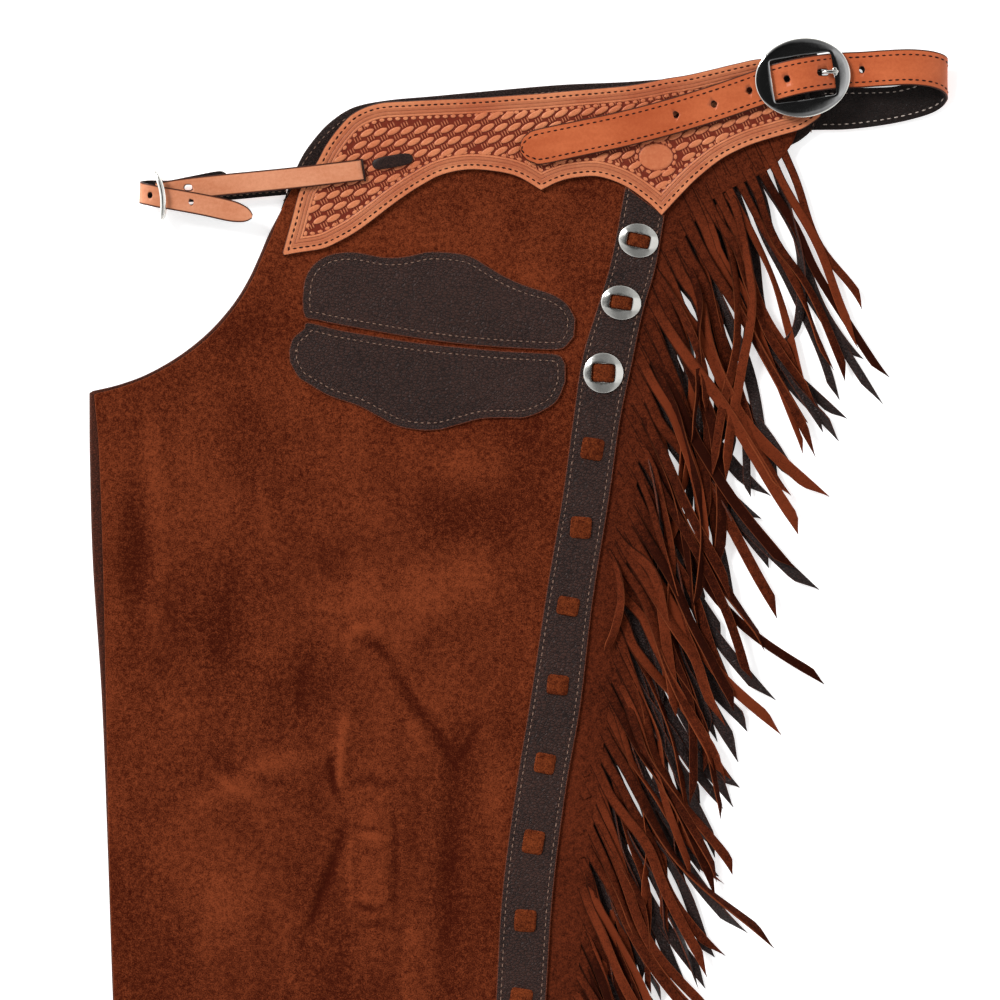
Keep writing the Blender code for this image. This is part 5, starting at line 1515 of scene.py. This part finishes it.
# plan place of the middle, turn in degrees, and half sizes in mm of the disc and of its slot
CONCHOS = [(638.4, 240.6, -12, 15.7, 13.2, 8.8, 5.2), (621, 302.7, -9, 15.8, 13.3, 8.6, 5.2),
           (603.3, 373, -3, 15.7, 15.7, 9.0, 7.1)]
for number, (x, y, turn, half_x, half_y, slot_x, slot_y) in enumerate(CONCHOS, 1):
    centre, base = plan(x, y), STRIP_TOP + GAP
    disc = metal_ring(
        f"silver_concho_{number}", centre, turn,
        lambda angle: (half_x * math.cos(angle), half_y * math.sin(angle)),
        lambda angle: rounded(angle, slot_x, slot_y, 9.0),
        [(0.0, base), (0.0, base + 0.5), (0.02, base + 0.8), (0.08, base + 1.05), (0.2, base + 1.35),
         (0.4, base + 1.85), (0.65, base + 2.4), (0.88, base + 2.8), (0.95, base + 2.8), (0.99, base + 2.5),
         (1.0, base + 2.0), (1.0, base)], 96, CONCHO_SILVER)
    lay(disc, [f"concho_{number}"], "silver")
    lace = pad(f"laced_concho_{number}", centre, (slot_x * 2 - 0.5, slot_y * 2 - 0.4), turn, base,
               2.3, LACE_SUEDE, pinch=0.5, power=9.0)
    lay(lace, [f"concho_lace_{number}"], "suede")

# a thin dark pad where the tie dives into the yoke: a painted shadow of the slit
slit = pad("tie_slit", plan(363.6, 170.3), (1.6, 20.4), 9, YOKE_TOP - 0.2,
           TIE_FACE + TIE_LINING + 0.5, THONG, power=5.0)
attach(slit, "root")
thong = pad("laced_thong", plan(392.5, 161.5), (32.0, 9.8), 10, YOKE_TOP + 0.1, 2.3, THONG,
            pinch=0.55, power=3.4)
lay(thong, ["yoke_thong"], "reverse")

# %% [markdown]
# ### The big buckle
#
# Its plate is polished and very slightly crowned, so that it mirrors a wide arc of the room.
# The rim and the opening have small bevels that catch the light.  The tongue is a round bar
# bent up over the belt, and it rests on the far side of the frame.

# %% Big buckle
BUCKLE_TURN, BUCKLE_LOW = 8.5, 17.3        # degrees, and mm above the floor
PLATE_HALF, OPENING_HALF = (37.4, 30.8), (23.9, 16.8)
BAR_HEIGHT, BAR_RADIUS = 15.6, 1.8
BAR_STOPS = (-12.8, -8, 0, 8, 12.8)
buckle_centre = plan(802.4, 78.2)


def opening(angle):
    stretched = math.atan2(math.sin(angle) * PLATE_HALF[1], math.cos(angle) * PLATE_HALF[0])
    return rounded(stretched, *OPENING_HALF, 26.0)


plate = metal_ring(
    "buckle_plate", buckle_centre, BUCKLE_TURN,
    lambda angle: (PLATE_HALF[0] * math.cos(angle), PLATE_HALF[1] * math.sin(angle)), opening,
    [(0.0, BUCKLE_LOW + 0.2), (0.0, BUCKLE_LOW + 1.2), (0.03, BUCKLE_LOW + 1.75), (0.07, BUCKLE_LOW + 2.0),
     (0.3, BUCKLE_LOW + 2.35), (0.6, BUCKLE_LOW + 2.7), (0.90, BUCKLE_LOW + 2.85), (0.955, BUCKLE_LOW + 2.7),
     (1.0, BUCKLE_LOW + 1.9), (1.0, BUCKLE_LOW + 0.1), (0.9, BUCKLE_LOW)], 160, DIMMED_PLATE_SILVER)


def bar(name, course, radii, finish, sides=16):
    """A round bar through places in metres."""
    points = []
    for index, place in enumerate(course):
        tangent = (course[min(index + 1, len(course) - 1)] - course[max(index - 1, 0)]).normalized()
        side = tangent.cross(Vector((0, 0, 1))).normalized()
        up = side.cross(tangent)
        points += [place + (side * math.cos(2 * math.pi * step / sides)
                            + up * math.sin(2 * math.pi * step / sides)) * radii[index] * MM
                   for step in range(sides)]
    return new_piece(name, points, ring_faces(len(course), sides), finish)


def on_buckle(x, y, z):
    return Vector((*(buckle_centre + turned((x, y), BUCKLE_TURN) * MM), z * MM))


cross_bar = bar("buckle_bar", [on_buckle(0, y, BAR_HEIGHT) for y in BAR_STOPS],
                [BAR_RADIUS] * len(BAR_STOPS), BUCKLE_SILVER)
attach(cross_bar, "root")
TONGUE = [(4.2, 1.6, BAR_HEIGHT, 1.1), (11.0, 1.9, 15.9, 1.25), (14.0, 2.1, 17.7, 1.35),
          (17.0, 1.9, 20.4, 1.45),
          (19.8, 1.6, 21.4, 1.5), (22.5, 1.2, 21.75, 1.55), (25.5, 0.9, 21.7, 1.5), (27.4, 0.7, 21.6, 1.3),
          (28.2, 0.6, 21.55, 0.6)]
tongue_rows = spline(TONGUE, 5)
tongue = bar("tongue_bar", [on_buckle(*row[:3]) for row in tongue_rows], list(tongue_rows[:, 3]),
             BUCKLE_SILVER)
catch = pad("tongue_catch", on_buckle(25.4, 1.0, 0).to_2d(), (4.2, 6.8), BUCKLE_TURN, 20.1, 1.6,
            BUCKLE_SILVER, pinch=0.2, power=2.2)
lay(plate, ["buckle_frame"], "silver")
lay(tongue, ["buckle_tongue"], "silver")
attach(catch, "root")

# %% [markdown]
# The chape is the fold of leather that holds the bar to the yoke; most of it is hidden.  Its
# lower leaf and a flat dark leaf pad fill the buckle's opening under the belt: partly the
# chape's own dark lining side, and partly painted shade where the opening lies in shadow.

# %% Chape
def chape():
    low, thick, reach = YOKE_TOP + GAP, 1.1, 2.1
    outside = [(-31.0, low), (-6.0, low)]
    inside = [(-31.0, low + thick), (-6.0, low + thick)]
    for step in range(13):
        angle = math.radians(-110 + 200 * step / 12)
        outside.append(((reach + thick) * math.cos(angle), BAR_HEIGHT + (reach + thick) * math.sin(angle)))
        inside.append((reach * math.cos(angle), BAR_HEIGHT + reach * math.sin(angle)))
    section = outside + inside[::-1]
    points = [on_buckle(along, side, height) for side in (-17.3, -16.9, 16.9, 17.3)
              for along, height in section]
    # its dark lining side, set wide, also darkens the opening: partly painted shade
    piece = new_piece("folded_chape", points, ring_faces(4, len(section)), LINING)
    own_values(piece, "rim_mm", np.tile([4.0] * len(section), 4))
    return piece


lay(chape(), ["buckle_chape"], "reverse", flat=(0.0346, 0.040), area=0.00134, rests_on=["tan_yoke"])
# a dark pad as the chape's inner leaf end; it also covers the tan yoke inside the opening with painted shade
shade_leaf = pad("chape_leaf_shade", on_buckle(2.5, 0, 0).to_2d(), (26.0, 35.4), BUCKLE_TURN, YOKE_TOP + GAP, 1.1, LINING,
           pinch=0.0, power=12.0)
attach(shade_leaf, "root")

# %% [markdown]
# ### The small buckle
#
# It stands on edge across the tie, so from above it is a thin bright crescent.  It is an oval
# ring bent to a shallow bow.

# %% Small buckle
# its bar: share of the way from the middle to an end, and share of the bow
RING_BAR = [(-0.93, 0.16), (-0.7, 0.6), (-0.4, 0.84), (0, 0.9), (0.4, 0.84), (0.7, 0.6), (0.93, 0.16)]


def small_buckle():
    top, bottom = plan(153.5, 168), plan(161.5, 222.5)
    middle, reach = (top + bottom) / 2, (top - bottom) / 2
    heading = reach.normalized()
    outward = Vector((heading.y, -heading.x))
    rise, centre_height, bow, sides = 13.0, 13.4, 4.4, 72
    section = [(0.86, -2.2), (0.93, -1.8), (0.975, -1.1), (0.995, -0.35), (0.995, 0.35), (0.975, 1.1),
               (0.93, 1.8), (0.86, 2.2), (0.81, 1.4), (0.81, -1.4)]
    points = []
    for step in range(sides):
        along, up = rounded(2 * math.pi * step / sides, 1.0, 1.0, 2.7)
        for share, side in section:
            inner_up = up * (rise * share + (rise * 0.04 if share < 0.9 else 0.0)) * 0.985
            spot = middle + reach * along * share * 0.99 + outward * bow * MM * (1 - (along * share) ** 2)
            spot = spot + outward * side * MM
            points.append((spot.x, spot.y, (centre_height + inner_up) * MM))
    count = len(section)
    faces = [(step * count + row, step * count + (row + 1) % count,
              (step + 1) % sides * count + (row + 1) % count, (step + 1) % sides * count + row)
             for step in range(sides) for row in range(count)]
    ring = new_piece("small_buckle", points, faces, CONCHO_SILVER)
    course = []
    for along, shift in RING_BAR:
        spot = middle + reach * along + outward * bow * shift * MM
        course.append(Vector((*spot, centre_height * MM)))
    return ring, bar("small_buckle_bar", course, [1.1] * len(RING_BAR), BUCKLE_SILVER)


ring, ring_bar = small_buckle()
lay(ring, ["tie_buckle"], "silver")
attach(ring_bar, "root")

# %% [markdown]
# ## Floor, light and camera
#
# The leather lies on a white sweep in very soft light, so shadows are faint.  A mirror shows
# the room, and a room that is white all over would make silver look like paper.  So the sky
# has one dim patch overhead, a little to the left, as a dark camera hood would be.  It is
# also brighter at the two sides than at the ends, and brightest low down, at the horizon.

# %% Floor and light
floor_mesh = bpy.data.meshes.new("studio_floor")
floor_mesh.from_pydata([(-4, -4, 0), (4, -4, 0), (4, 4, 0), (-4, 4, 0)], [], [(0, 1, 2, 3)])
floor = bpy.data.objects.new("studio_floor", floor_mesh)
bpy.context.scene.collection.objects.link(floor)
paper, paper_shader = begin("floor_paper", 0.95)[:2]
paper_shader.inputs["Base Color"].default_value = (0.93, 0.93, 0.93, 1.0)
paper_shader.inputs["Emission Color"].default_value = (1.0, 1.0, 1.0, 1.0)
paper_shader.inputs["Emission Strength"].default_value = 0.56
floor_mesh.materials.append(paper)

world = bpy.data.worlds.new("studio")
bpy.context.scene.world = world
world.use_nodes = True
sky = Wire(world.node_tree)
look = sky.node("ShaderNodeTexCoord", out="Generated")
away = look.node("ShaderNodeVectorMath", {"operation": "DISTANCE"},
                 {0: look, 1: (-0.28, 0.04, 0.96)}, out="Value")
hood = away.soft_step(0.56, 0.36)
heading = look.node("ShaderNodeSeparateXYZ", inputs={0: look}, out="Y")
ends = heading.size().soft_step(0.12, 0.48)
sides = heading.other("X").size().soft_step(0.12, 0.40)
horizon = heading.other("Z").soft_step(0.45, 0.10)
power = (0.65 + sides * 0.36 - ends * 0.42) * (1 - hood * 0.97) + horizon * 0.74
world.node_tree.links.new(power.socket, world.node_tree.nodes["Background"].inputs["Strength"])
world.node_tree.nodes["Background"].inputs["Color"].default_value = (1.0, 1.0, 1.0, 1.0)

lamp = bpy.data.lights.new("softbox", "SUN")
lamp.angle = math.radians(20)
lamp.energy = 2.8
softbox = bpy.data.objects.new("softbox", lamp)
softbox.rotation_euler = Vector((1.25, -0.95, -1.15)).to_track_quat("-Z", "Y").to_euler()
bpy.context.scene.collection.objects.link(softbox)

# %% Camera, straight above
FRAME_WIDTH = 1000 * UNIT
CAMERA_HEIGHT = 8.0
SENSOR = 36.0
PICTURE_LEVEL = 0.008                # m above the floor, where the picture is FRAME_WIDTH wide
lens = bpy.data.cameras.new("above")
lens.sensor_width = SENSOR
lens.lens = SENSOR * (CAMERA_HEIGHT - PICTURE_LEVEL) / FRAME_WIDTH
lens.clip_end = 60.0
camera = bpy.data.objects.new("above", lens)
camera.location = (*plan(500, 500), CAMERA_HEIGHT)
bpy.context.scene.collection.objects.link(camera)
bpy.context.scene.camera = camera
bpy.context.scene.view_settings.view_transform = "Standard"
